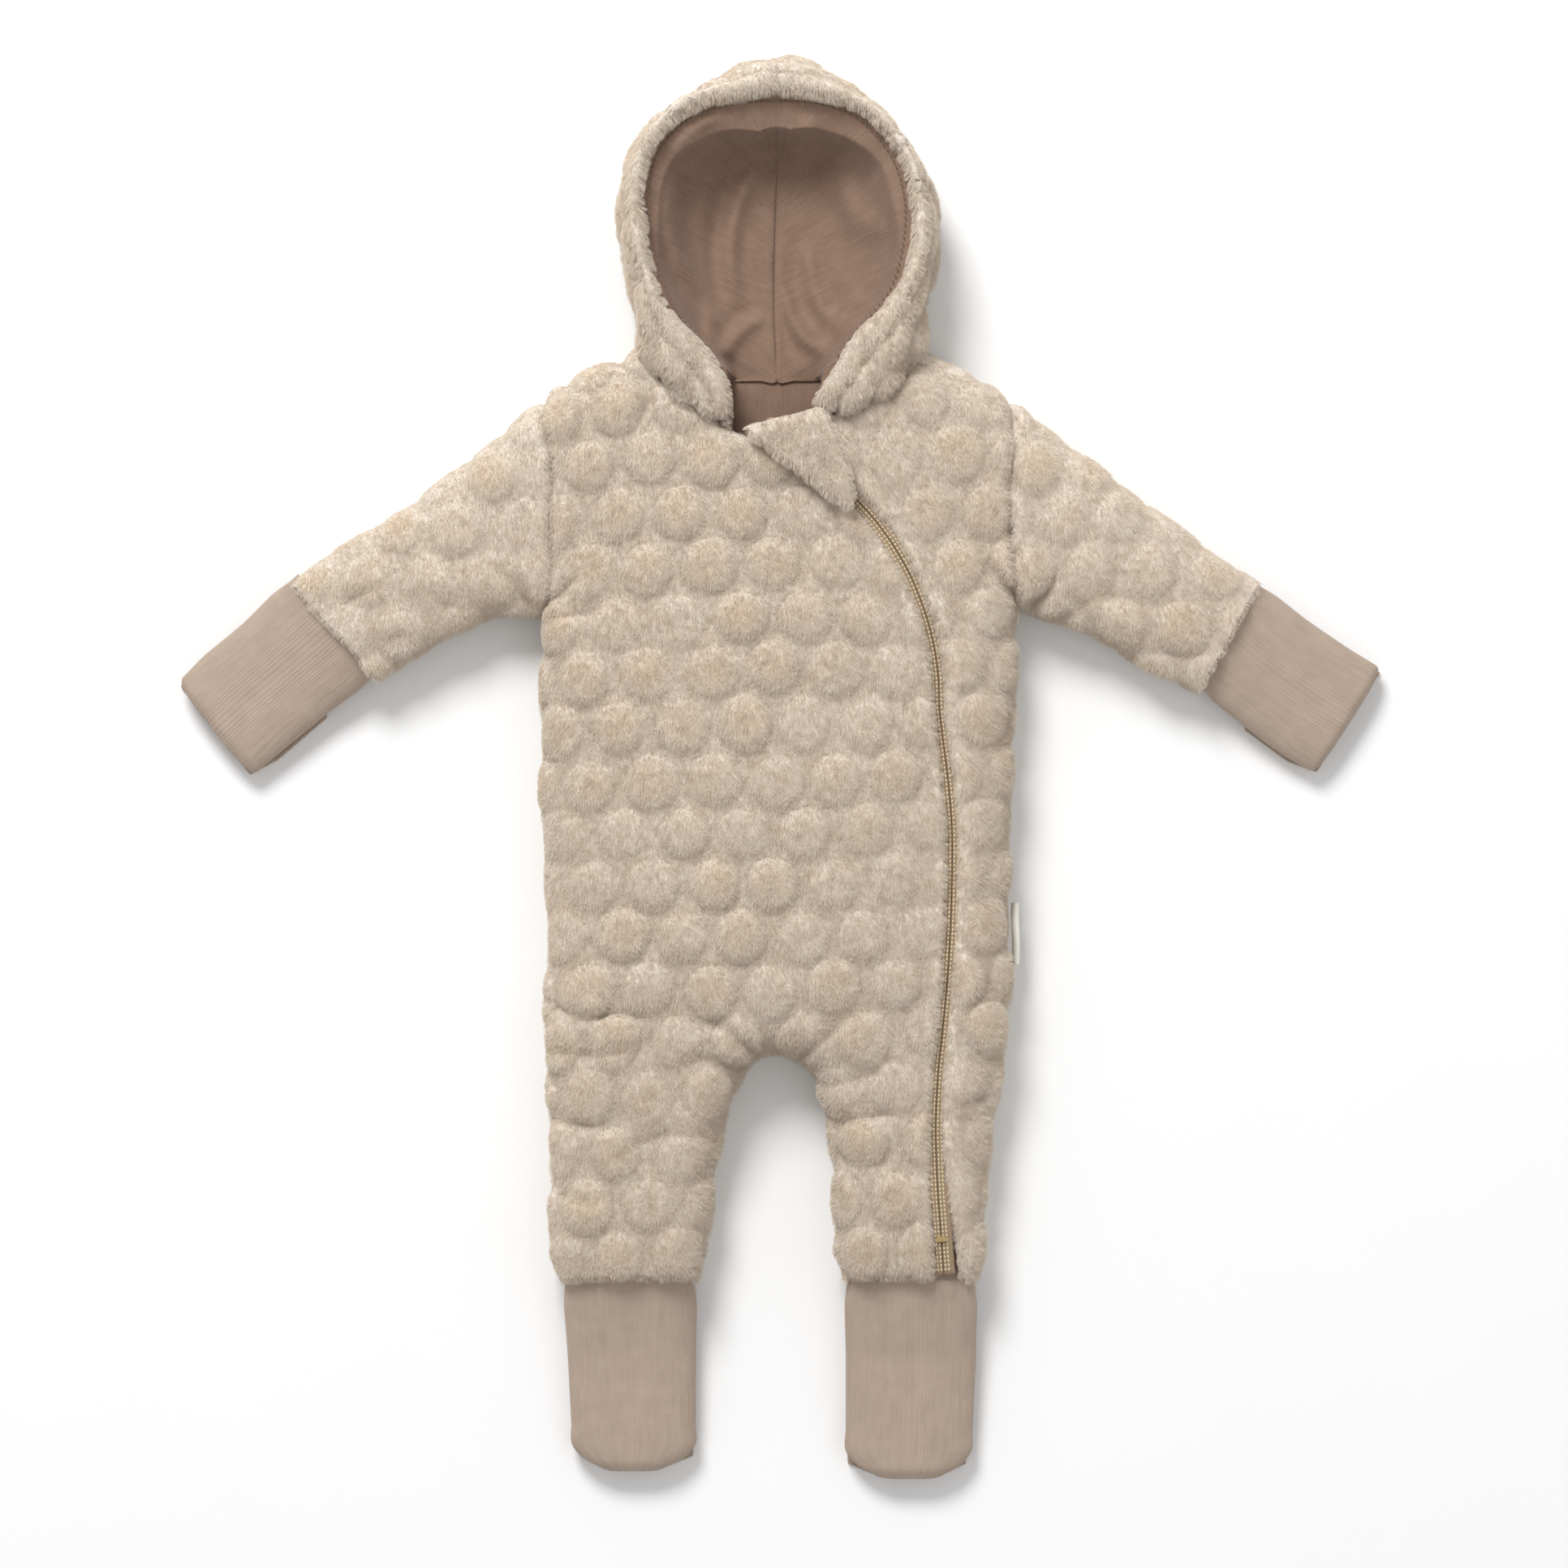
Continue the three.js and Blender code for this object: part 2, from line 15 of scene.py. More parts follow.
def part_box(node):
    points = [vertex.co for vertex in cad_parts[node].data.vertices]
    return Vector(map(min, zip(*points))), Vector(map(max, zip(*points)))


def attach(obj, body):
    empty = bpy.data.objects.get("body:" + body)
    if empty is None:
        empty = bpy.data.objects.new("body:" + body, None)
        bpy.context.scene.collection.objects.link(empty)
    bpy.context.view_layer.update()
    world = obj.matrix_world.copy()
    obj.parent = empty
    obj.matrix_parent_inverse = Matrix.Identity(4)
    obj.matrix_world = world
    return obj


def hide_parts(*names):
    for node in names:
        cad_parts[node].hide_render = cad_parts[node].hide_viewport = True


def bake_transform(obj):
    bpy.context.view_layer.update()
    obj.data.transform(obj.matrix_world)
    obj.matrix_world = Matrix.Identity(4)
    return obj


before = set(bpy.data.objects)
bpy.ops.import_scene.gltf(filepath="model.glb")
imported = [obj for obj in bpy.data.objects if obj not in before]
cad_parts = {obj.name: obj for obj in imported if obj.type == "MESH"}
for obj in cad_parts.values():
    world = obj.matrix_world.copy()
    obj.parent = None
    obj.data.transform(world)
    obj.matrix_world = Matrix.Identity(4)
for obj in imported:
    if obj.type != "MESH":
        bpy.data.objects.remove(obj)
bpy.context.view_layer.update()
MM = 1000.0

# The skin's grid, and how far in from the side seams the front and the back are rounded off
CELL = 1.5
EDGE_ROUND = 24.0
EDGE_POWER = 0.92
BACK_ROUND = 15.0
HEM_ROUND = 9.0
HEM_LEVEL = 31
# How thick each cloth is, and how deep the lining lies under the plush
PLUSH_SHELL = 3.4
HOOD_SHELL = 2.6
CUFF_SHELL = 1.7
LINING_SHELL = 1.2
LINING_DEPTH = 5.0
BACK_LINING_DEEPER = 3.4
# The plush's backing stands this far inside the CAD's surface, which leaves room for the pile
PILE_INSET = 1.7
BACK_INSET = 2.8
# The raised dots: across, from row to row, and how far each may stray
DOT_PITCH = 30.0
DOT_ROW = 26.0
DOT_STRAY = 2.4
DOT_RADIUS = 12.6
DOT_RISE = 3.6

SIDE_SEAM_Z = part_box("back_panel")[1].z * MM
HEM_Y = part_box("back_panel")[0].y * MM
HOOD_SEAM_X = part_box("hood_shell_right")[1].x * MM
NECK_SEAM_Y = 193.4

PANELS = ("front_panel_right", "front_panel_left", "back_panel")
SLEEVES = ("sleeve_right", "sleeve_left")
HAND_CUFFS = ("hand_cuff_right", "hand_cuff_left")
FOOT_CUFFS = ("foot_cuff_right", "foot_cuff_left")
HOODS = ("hood_shell_right", "hood_shell_left")


# ---------------------------------------------------------------- reading the frame

def cad_points(name):
    """A CAD node's vertices and edges."""
    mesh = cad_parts[name].data
    points = np.array([v.co[:] for v in mesh.vertices]) * MM
    edges = np.array([e.vertices[:] for e in mesh.edges])
    return points, edges


class Plan:
    """Some CAD nodes seen from above, to be asked how far they reach."""

    def __init__(self, *names):
        ends = [(p[e[:, 0]], p[e[:, 1]]) for p, e in map(cad_points, names)]
        self.a = np.concatenate([a for a, _ in ends])
        self.b = np.concatenate([b for _, b in ends])

    def reach(self, start, direction):
        """The farthest point in plan on the ray from start."""
        start, d = np.array(start, float), np.array(direction, float)
        d /= np.linalg.norm(d)
        across = np.array([-d[1], d[0]])
        va, vb = (self.a[:, :2] - start) @ across, (self.b[:, :2] - start) @ across
        hit = (va * vb <= 0) & (np.abs(va - vb) > 1e-9)
        share = va[hit] / (va[hit] - vb[hit])
        ua, ub = (self.a[hit, :2] - start) @ d, (self.b[hit, :2] - start) @ d
        return start + d * (ua + share * (ub - ua)).max()

    def crossings(self, y):
        """The x of each edge where it crosses the line at y."""
        va, vb = self.a[:, 1] - y, self.b[:, 1] - y
        hit = (va * vb <= 0) & (np.abs(va - vb) > 1e-9)
        share = va[hit] / (va[hit] - vb[hit])
        return self.a[hit, 0] + share * (self.b[hit, 0] - self.a[hit, 0])


def cad_tree(*names):
    """A ray target made of CAD nodes, in millimetres."""
    points, faces, base = [], [], 0
    for name in names:
        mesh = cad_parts[name].data
        points += [v.co * MM for v in mesh.vertices]
        faces += [[i + base for i in p.vertices] for p in mesh.polygons]
        base = len(points)
    return BVHTree.FromPolygons(points, faces)


# ---------------------------------------------------------------- numbers

def smoothstep(x, low=0.0, high=1.0):
    """From 0 at low to 1 at high, with a soft start and end."""
    t = np.clip((x - low) / (high - low), 0, 1)
    return t * t * (3 - 2 * t)


def bell(x, width):
    """1 at 0, fading to nothing over about twice the width."""
    return np.exp(-((x / width) ** 2))


def chance(a, b, seed):
    """A repeatable number from 0 to 1 for each pair of whole numbers."""
    n = np.sin(a * 127.1 + b * 311.7 + seed * 74.7) * 43758.5453
    return n - np.floor(n)


def noise(x, y, size, seed):
    """Smooth noise from -1 to 1 with features of about that size."""
    u, v = x / size, y / size
    i, j = np.floor(u), np.floor(v)
    f, g = smoothstep(u - i), smoothstep(v - j)
    low = chance(i, j, seed) * (1 - f) + chance(i + 1, j, seed) * f
    high = chance(i, j + 1, seed) * (1 - f) + chance(i + 1, j + 1, seed) * f
    return 2 * (low * (1 - g) + high * g) - 1


def dots(u, v, seed):
    """Raised round dots in staggered rows: height from 0 to 1, and each dot's own chance."""
    best = np.full(np.shape(u), 1e9)
    which = np.zeros(np.shape(u))
    row0 = np.round(v / DOT_ROW)
    for step in (-1, 0, 1):
        row = row0 + step
        shift = np.mod(row, 2) * DOT_PITCH / 2
        column = np.round((u - shift) / DOT_PITCH)
        for side in (-1, 0, 1):
            c = column + side
            x = c * DOT_PITCH + shift + DOT_STRAY * (chance(c, row, seed + 1) - 0.5)
            y = row * DOT_ROW + DOT_STRAY * (chance(c, row, seed + 2) - 0.5)
            r = np.hypot(u - x, v - y) / (1 + 0.1 * (chance(c, row, seed + 4) - 0.5))
            nearer = r < best
            best = np.where(nearer, r, best)
            which = np.where(nearer, chance(c, row, seed + 3), which)
    rise = np.clip(1 - (best / DOT_RADIUS) ** 3.4, 0, 1) ** 0.75
    return rise, which


def beside(x, y, line, bow):
    """How far along a bowed line each point is, from 0 to 1, and how far to its side."""
    x0, y0, x1, y1 = line
    dx, dy = x1 - x0, y1 - y0
    span = math.hypot(dx, dy)
    t = ((x - x0) * dx + (y - y0) * dy) / span**2
    bowed = bow * span * np.sin(math.pi * np.clip(t, 0, 1))
    return t, ((x - x0) * dy - (y - y0) * dx) / span - bowed


def curve_through(anchors, count):
    """A smooth curve through the anchors: count points in all, as an array."""
    p = np.array(anchors, float)
    last = len(p) - 1
    t = np.linspace(0, last, count)
    i = np.minimum(t.astype(int), last - 1)
    f = (t - i)[:, None]
    a, b, c, d = (p[np.clip(i + k, 0, last)] for k in (-1, 0, 1, 2))
    return 0.5 * (2 * b + (c - a) * f + (2 * a - 5 * b + 4 * c - d) * f**2
                  + (3 * b - a - 3 * c + d) * f**3)


def bezier(p0, p1, p2, p3):
    t = np.linspace(0, 1, 40)[:, None]
    p0, p1, p2, p3 = (np.array(p, float) for p in (p0, p1, p2, p3))
    return (1 - t)**3 * p0 + 3 * t * (1 - t)**2 * p1 + 3 * t**2 * (1 - t) * p2 + t**3 * p3


def lengths(points):
    """How far along the polyline each point is."""
    steps = np.linalg.norm(np.diff(points, axis=0), axis=1)
    return np.concatenate([[0], np.cumsum(steps)])


def spaced(points, step):
    """The polyline resampled at an even step."""
    s = lengths(points)
    at = np.linspace(0, s[-1], max(int(s[-1] / step), 2) + 1)
    return np.stack([np.interp(at, s, points[:, k]) for k in range(points.shape[1])], 1)


# ---------------------------------------------------------------- meshes

def vertex_normals(points, quads):
    a, b, c, d = (points[quads[:, k]] for k in range(4))
    face = np.cross(c - a, d - b)
    total = np.zeros_like(points)
    for k in range(4):
        np.add.at(total, quads[:, k], face)
    size = np.linalg.norm(total, axis=1, keepdims=True)
    return total / np.maximum(size, 1e-12)


def border_edges(quads, count):
    """The directed edges that only one face uses."""
    a = quads.ravel()
    b = np.roll(quads, -1, axis=1).ravel()
    lone = ~np.isin(b.astype(np.int64) * count + a, a.astype(np.int64) * count + b)
    return a[lone], b[lone]


def compact(points, quads):
    """Only the points that the faces use, and where each came from."""
    used, back = np.unique(quads, return_inverse=True)
    return points[used], back.reshape(quads.shape), used


def shell(points, quads, normals, outside, thickness):
    """A closed solid between two offsets of a surface: points, faces and what is outside."""
    n = len(points)
    outer = points - normals * outside
    inner = points - normals * (outside + thickness)
    a, b = border_edges(quads, n)
    rim = np.stack([b, a, a + n, b + n], 1)
    faces = np.concatenate([quads, quads[:, ::-1] + n, rim])
    is_outer = np.concatenate([np.ones(n), np.zeros(n)])
    return np.concatenate([outer, inner]), faces, is_outer


def tube_faces(rings, around, base=0):
    """Quads round a tube of rings, from point base on, and a face at each end."""
    faces = []
    for k in range(rings - 1):
        low, high = base + k * around, base + (k + 1) * around
        for m in range(around):
            n = (m + 1) % around
            faces.append([low + m, low + n, high + n, high + m])
    last = base + (rings - 1) * around
    faces.append([base + m for m in range(around)][::-1])
    faces.append([last + m for m in range(around)])
    return faces


def outward(piece):
    """Turns a closed piece's faces to point out."""
    work = bmesh.new()
    work.from_mesh(piece.data)
    bmesh.ops.recalc_face_normals(work, faces=work.faces)
    work.to_mesh(piece.data)
    work.free()


def make(name, points, faces, look, body=None, slot=None, replaces=()):
    """A mesh object, from millimetres."""
    mesh = bpy.data.meshes.new(name)
    if isinstance(faces, np.ndarray):
        faces = faces.tolist()
    mesh.from_pydata((np.asarray(points) / MM).tolist(), [], faces)
    mesh.validate()
    mesh.polygons.foreach_set("use_smooth", [True] * len(mesh.polygons))
    mesh.update()
    piece = bpy.data.objects.new(name, mesh)
    bpy.context.scene.collection.objects.link(piece)
    mesh.materials.append(look)
    if body:
        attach(piece, body)
    if replaces:
        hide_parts(*replaces)
    return piece


def ready_for_pile(piece, tint, grows):
    """Each point's tint, a colour attribute that the strands read as well, and where pile grows."""
    data = np.ones((len(tint), 4), np.float32)
    data[:, :3] = np.asarray(tint, np.float32)[:, None]
    attribute = piece.data.color_attributes.new("tint", "FLOAT_COLOR", "POINT")
    attribute.data.foreach_set("color", data.ravel())
    group = piece.vertex_groups.new(name="pile")
    group.add(np.flatnonzero(grows).tolist(), 1.0, "REPLACE")


def set_uv(piece, uv):
    """Each point's place on the flat cloth, in metres, for the knit's columns and courses."""
    layer = piece.data.uv_layers.new(name="cloth")
    corners = np.zeros(len(piece.data.loops), np.int64)
    piece.data.loops.foreach_get("vertex_index", corners)
    layer.data.foreach_set("uv", np.asarray(uv, np.float32)[corners].ravel())


# ---------------------------------------------------------------- materials

class Look:
    """A node material with a short way to add nodes."""

    def __init__(self, name, roughness, **sockets):
        self.material = bpy.data.materials.new(name)
        self.material.use_nodes = True
        self.tree = self.material.node_tree
        self.shader = self.tree.nodes["Principled BSDF"]
        self.shader.inputs["Roughness"].default_value = roughness
        for socket, value in sockets.items():
            self.shader.inputs[socket.replace("_", " ")].default_value = value

    def node(self, kind, inputs=(), **settings):
        made = self.tree.nodes.new(kind)
        for key, value in settings.items():
            setattr(made, key, value)
        for socket, value in dict(inputs).items():
            if isinstance(value, bpy.types.NodeSocket):
                self.tree.links.new(value, made.inputs[socket])
            else:
                made.inputs[socket].default_value = value
        return made

    def math(self, operation, a, b=0.0):
        return self.node("ShaderNodeMath", {0: a, 1: b}, operation=operation).outputs[0]

    def mix(self, factor, a, b, blend="MIX"):
        made = self.node("ShaderNodeMix", data_type="RGBA", blend_type=blend)
        for socket, value in (("Factor", factor), ("A", a), ("B", b)):
            target = next(s for s in made.inputs if s.name == socket and s.enabled)
            if isinstance(value, bpy.types.NodeSocket):
                self.tree.links.new(value, target)
            else:
                target.default_value = value
        return next(s for s in made.outputs if s.enabled)

    def place(self):
        return self.node("ShaderNodeTexCoord").outputs["Object"]

    def noise(self, where, scale, detail=3.0, stretch=None):
        if stretch:
            where = self.node("ShaderNodeMapping", {"Vector": where, "Scale": stretch}).outputs[0]
        inputs = {"Vector": where, "Scale": scale, "Detail": detail}
        return self.node("ShaderNodeTexNoise", inputs).outputs[0]

    def ramp(self, value, low, high):
        inputs = {"Value": value, "From Min": low, "From Max": high}
        return self.node("ShaderNodeMapRange", inputs).outputs[0]

    def bump(self, height, distance, strength=1.0, normal=None):
        inputs = {"Height": height, "Distance": distance, "Strength": strength}
        if normal:
            inputs["Normal"] = normal
        return self.node("ShaderNodeBump", inputs).outputs[0]

    def set(self, socket, value):
        self.tree.links.new(value, self.shader.inputs[socket])


def shade(r, g, b):
    """An sRGB colour, 0 to 255, as the linear colour that a socket takes."""
    linear = [((c / 255 + 0.055) / 1.055) ** 2.4 if c > 10 else c / 3295 for c in (r, g, b)]
    return (*linear, 1.0)


PLUSH_LIGHT = shade(233, 225, 214)
PLUSH_TAN = shade(223, 206, 184)
PLUSH_DEEP = shade(244, 237, 229)
PLUSH_TIP = shade(254, 252, 249)
KNIT_COLUMN = 0.0011
KNIT_COURSE = 0.0008


def plush_colour(look):
    """Cream pile: tan where the nap has opened at the dots' middles, and softly mottled."""
    where = look.place()
    tint = look.node("ShaderNodeAttribute", attribute_name="tint").outputs["Fac"]
    tufts = look.noise(where, 260, 4)
    patches = look.noise(where, 45, 2)
    share = look.math("ADD", tint, look.math("MULTIPLY", look.ramp(patches, 0.42, 0.72), 0.2))
    colour = look.mix(share, PLUSH_LIGHT, PLUSH_TAN)
    dark = look.mix(look.ramp(tufts, 0.35, 0.65), PLUSH_DEEP, PLUSH_TIP)
    look.set("Base Color", look.mix(1.0, colour, dark, "MULTIPLY"))
    return where


def plush_look():
    """The plush's backing, as it shows between the strands."""
    look = Look("plush", 0.95, Sheen_Weight=0.25, Sheen_Roughness=0.6, Specular_IOR_Level=0.15)
    where = plush_colour(look)
    fine = look.bump(look.noise(where, 900, 3, (1.0, 0.45, 1.0)), 0.0012, 0.9)
    look.set("Normal", look.bump(look.noise(where, 330, 3), 0.0018, 0.8, fine))
    return look.material


def pile_look():
    """The pile's strands."""
    look = Look("plush_pile", 0.9, Sheen_Weight=0.1, Sheen_Roughness=0.6, Specular_IOR_Level=0.1)
    plush_colour(look)
    return look.material


def jersey_look(name, dark, light):
    """Fine single jersey: vertical columns of stitches, a little uneven in colour."""
    look = Look(name, 0.88, Sheen_Weight=0.15, Sheen_Roughness=0.5, Specular_IOR_Level=0.2)
    across = look.node("ShaderNodeUVMap", uv_map="cloth").outputs[0]
    parts = look.node("ShaderNodeSeparateXYZ", {0: across})
    column = look.math("SINE", look.math("MULTIPLY", parts.outputs[0], 2 * math.pi / KNIT_COLUMN))
    course = look.math("SINE", look.math("MULTIPLY", parts.outputs[1], 2 * math.pi / KNIT_COURSE))
    knit = look.math("ADD", column, look.math("MULTIPLY", course, 0.35))
    streaks = look.noise(across, 420, 3, (1.0, 0.12, 1.0))
    mottled = look.noise(look.place(), 110, 4)
    share = look.math("ADD", look.math("MULTIPLY", look.ramp(streaks, 0.3, 0.7), 0.5),
                      look.math("MULTIPLY", look.ramp(mottled, 0.3, 0.7), 0.5))
    look.set("Base Color", look.mix(share, dark, light))
    soft = look.bump(look.noise(look.place(), 60, 3), 0.0016, 0.35)
    rib = look.bump(streaks, 0.0008, 0.5, soft)
    look.set("Normal", look.bump(knit, 0.00025, 0.35, rib))
    return look.material


def grained_look(name, roughness, dark, light, grain, depth=0.0, strength=0.5, **sockets):
    """A colour that follows a fine grain: its scale, detail and stretch, and how deep it is."""
    look = Look(name, roughness, **sockets)
    pattern = look.noise(look.place(), *grain)
    look.set("Base Color", look.mix(pattern, dark, light))
    if depth:
        look.set("Normal", look.bump(pattern, depth, strength))
    return look.material


def thread_look(name, dark, light):
    return grained_look(name, 0.7, dark, light, (2600, 2), 0.0003, Sheen_Weight=0.2)


def brass_look():
    """Worn brass, a little uneven in its gloss."""
    look = Look("brass", 0.35, Metallic=0.95)
    worn = look.noise(look.place(), 500, 4)
    look.set("Base Color", look.mix(worn, shade(176, 150, 100), shade(206, 182, 132)))
    look.set("Roughness", look.ramp(worn, -0.6, 2.2))
    look.set("Normal", look.bump(worn, 0.0001, 0.3))
    return look.material


PLUSH = plush_look()
PILE = pile_look()
CUFF_JERSEY = jersey_look("cuff_jersey", shade(170, 151, 135), shade(183, 164, 148))
LINING_JERSEY = jersey_look("lining_jersey", shade(134, 108, 91), shade(150, 124, 107))
TAPE = grained_look("zip_tape", 0.8, shade(142, 120, 95), shade(164, 142, 114),
                    (1600, 2), 0.0005, 0.6, Sheen_Weight=0.1)
THREAD = thread_look("thread", shade(212, 190, 156), shade(236, 218, 186))
SEAM_THREAD = thread_look("seam_thread", shade(104, 84, 68), shade(124, 102, 84))
COIL = grained_look("zip_coil", 0.45, shade(120, 100, 72), shade(150, 128, 96), (900, 2))
BRASS = brass_look()
RIBBON = grained_look("label_ribbon", 0.6, shade(224, 218, 208), shade(240, 236, 228),
                      (1500, 2, (0.2, 1.0, 1.0)), 0.0002, Sheen_Weight=0.2)


# ---------------------------------------------------------------- stage

CAMERA_X = 2.0
CAMERA_Y = -6.2
VIEW_WIDTH = 772.8
VIEW_LEVEL = 30.0
LENS = 150.0
SENSOR = 36.0
WORLD_STRENGTH = 0.55
# Lamps: name, place in metres, size in metres, power in watts
LIGHTS = (
    ("key", (-0.85, 2.3, 2.4), 1.3, 92.0),
    ("fill", (1.2, -0.6, 2.6), 2.0, 6.0),
)
FLOOR_REACH = 4000
FLOOR_LEVEL = -0.4


def stage():
    """The camera, the floor, the world's soft light and two lamps."""
    scene = bpy.context.scene
    scene.view_settings.view_transform = "Standard"
    camera = bpy.data.objects.new("camera", bpy.data.cameras.new("camera"))
    camera.data.lens = LENS
    camera.data.sensor_width = SENSOR
    height = VIEW_WIDTH * LENS / SENSOR + VIEW_LEVEL
    camera.location = (CAMERA_X / MM, CAMERA_Y / MM, height / MM)
    camera.data.clip_end = 50
    scene.collection.objects.link(camera)
    scene.camera = camera

    look = Look("floor", 0.9, Specular_IOR_Level=0.0)
    grain = look.noise(look.place(), 20, 1)
    look.set("Base Color", look.mix(grain, (0.93, 0.93, 0.93, 1), (0.94, 0.94, 0.94, 1)))
    signs = ((-1, -1), (1, -1), (1, 1), (-1, 1))
    corners = [(x * FLOOR_REACH, y * FLOOR_REACH, FLOOR_LEVEL) for x, y in signs]
    floor = make("floor", corners, [[0, 1, 2, 3]], look.material)

    world = bpy.data.worlds.new("studio")
    world.use_nodes = True
    light = world.node_tree.nodes["Background"].inputs
    light["Color"].default_value = (1, 1, 1, 1)
    light["Strength"].default_value = WORLD_STRENGTH
    scene.world = world
    for name, place, size, power in LIGHTS:
        lamp = bpy.data.objects.new(name, bpy.data.lights.new(name, "AREA"))
        lamp.data.shape = "DISK"
        lamp.data.size = size
        lamp.data.energy = power
        lamp.location = place
        lamp.rotation_euler = (-Vector(place)).to_track_quat("-Z", "Y").to_euler()
        scene.collection.objects.link(lamp)


# ---------------------------------------------------------------- the body's plan

OUTLINE_STEP = 0.5
OUTLINE_BLUR = 4.0
HEM_CORNER = 30


def arm(side):
    """A sleeve's middle line: where it leaves the trunk, and the middle of its hem."""
    low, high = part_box(SLEEVES[side])
    sign = -1 if side == 0 else 1
    shoulder = np.array([(high.x if side == 0 else low.x) * MM, 136.0])
    cuff = Plan(HAND_CUFFS[side])
    return shoulder, cuff.reach((sign * 150, 115), (sign * 1.0, -0.6))


def body_outline():
    """The closed outline of trunk, legs, sleeves and cuffs, running on under the hood."""
    trunk, feet = Plan(*PANELS), Plan(*FOOT_CUFFS)
    sides = []
    for side, sign, leg_x in ((0, -1, -75), (1, 1, 65)):
        sleeve = Plan(SLEEVES[side], HAND_CUFFS[side])
        root, wrist = arm(side)
        along = (wrist - root) / np.linalg.norm(wrist - root)
        up = np.array([-along[1], along[0]]) * sign
        span = np.linalg.norm(wrist - root)
        half = [(sign * 66, 255), (sign * 66, 214)]
        half += [trunk.reach((0, y), (sign, 0)) for y in (203, 197, 190)]
        shares = (0.16, 0.28, 0.4, 0.5, 0.57, 0.71, 0.8, 0.9, 0.97)
        stations = [root + along * span * f for f in shares]
        half += [sleeve.reach(p, up) for p in stations]
        half += [wrist + along * 12 + up * HEM_CORNER, wrist + along * 12 - up * HEM_CORNER]
        half += [sleeve.reach(p, -up) for p in reversed(stations)]
        flank_rows = (66, 44, 20, -5, -30, -55, -80, -105, -128)
        half += [trunk.reach((0, y), (sign, 0)) for y in flank_rows]
        leg_rows = (-146, -165, -185, -205, -222, -236, -246)
        half += [trunk.reach((leg_x, y), (sign, 0)) for y in leg_rows]
        half += [feet.reach((leg_x, y), (sign, 0)) for y in (-256, -280, -310, -330)]
        half += [(leg_x + sign * 15, -362), (leg_x - sign * 15, -362)]
        half += inner_leg(feet, leg_x, sign, (-330, -310, -280, -256))
        half += inner_leg(trunk, leg_x, sign, tuple(reversed(leg_rows)))
        sides.append([np.array(p, float) for p in half])
    crotch = [trunk.reach((x, -110), (0, -1)) for x in (-9.0, -2.0, 5.0)]
    loop = np.array(sides[0] + crotch + sides[1][::-1])
    loop = np.concatenate([loop, loop[:1]])
    even = spaced(loop, OUTLINE_STEP)[:-1]
    reach = np.arange(-16, 17)
    weight = bell(reach * OUTLINE_STEP, OUTLINE_BLUR)
    weight /= weight.sum()
    return sum(w * np.roll(even, k, axis=0) for k, w in zip(reach, weight))


def inner_leg(plan, leg_x, sign, rows):
    """The leg's inner edge: the farthest point before the gap between the legs."""
    points = []
    for y in rows:
        x = plan.crossings(y)
        same_leg = x[x * sign > 0]
        points.append((leg_x - sign * ((same_leg - leg_x) * -sign).max(), y))
    return points


# ---------------------------------------------------------------- seams and the zip, in plan

class Line:
    """A smooth line in plan: how far points are from it, and on which side."""

    def __init__(self, points):
        self.points = spaced(np.array(points, float), OUTLINE_STEP)
        tangent = np.gradient(self.points, axis=0)
        tangent /= np.linalg.norm(tangent, axis=1, keepdims=True)
        self.left = np.stack([-tangent[:, 1], tangent[:, 0]], 1)
        self.tree = KDTree(len(self.points))
        for i, p in enumerate(self.points):
            self.tree.insert((p[0], p[1], 0), i)
        self.tree.balance()

    def distance(self, xy):
        """Signed distance, positive on the line's left, its gradient, and the nearest index."""
        index = np.array([self.tree.find((x, y, 0))[1] for x, y in xy])
        away = xy - self.points[index]
        size = np.linalg.norm(away, axis=1)
        side = np.sign((away * self.left[index]).sum(1))
        side[side == 0] = 1
        near = size < 2
        signed = np.where(near, (away * self.left[index]).sum(1), side * size)
        gradient = np.where(near[:, None], self.left[index],
                            away * (side / np.maximum(size, 1e-9))[:, None])
        return signed, gradient, index


def zip_path():
    """The zip's middle, read from the CAD tapes: points in plan from the neck to the hem."""
    sides = []
    for name, pick in (("zip_tape_right", max), ("zip_tape_left", min)):
        tape, y = Plan(name), cad_points(name)[0][:, 1]
        rows = np.concatenate([np.linspace(y.max() - 4, 100, 16), np.linspace(90, y.min() + 1, 24)])
        sides.append(np.stack([[pick(tape.crossings(row)) for row in rows], rows], 1))
    middle = (sides[0] + sides[1]) / 2
    start = middle[0] + (middle[0] - middle[1]) * 2.2
    end = middle[-1] + (0.3, -8)
    return curve_through(np.concatenate([[start], middle, [end]]), 500)


def slot_half_width(y):
    """Half the gap that the plush leaves over the tapes: widest at the chest and the hem."""
    return (2.8 + 0.8 * smoothstep(y, 60, 128) + 2.0 * smoothstep(-y, 150, 245)
            + 0.25 * noise(y, 0 * y, 9, 5))


NECK_RIGHT = bezier((-68, 208), (-60, 182), (-30, 169), (-2, 170))
NECK_LEFT = bezier((-2, 170), (30, 172), (58, 184), (68, 208))
NECKLINE = np.concatenate([NECK_RIGHT, NECK_LEFT[1:]])


def neck_y(x):
    """Where the fronts meet the hood; beyond the neckline's ends, far away."""
    return np.interp(x, NECKLINE[:, 0], NECKLINE[:, 1], left=400, right=400)


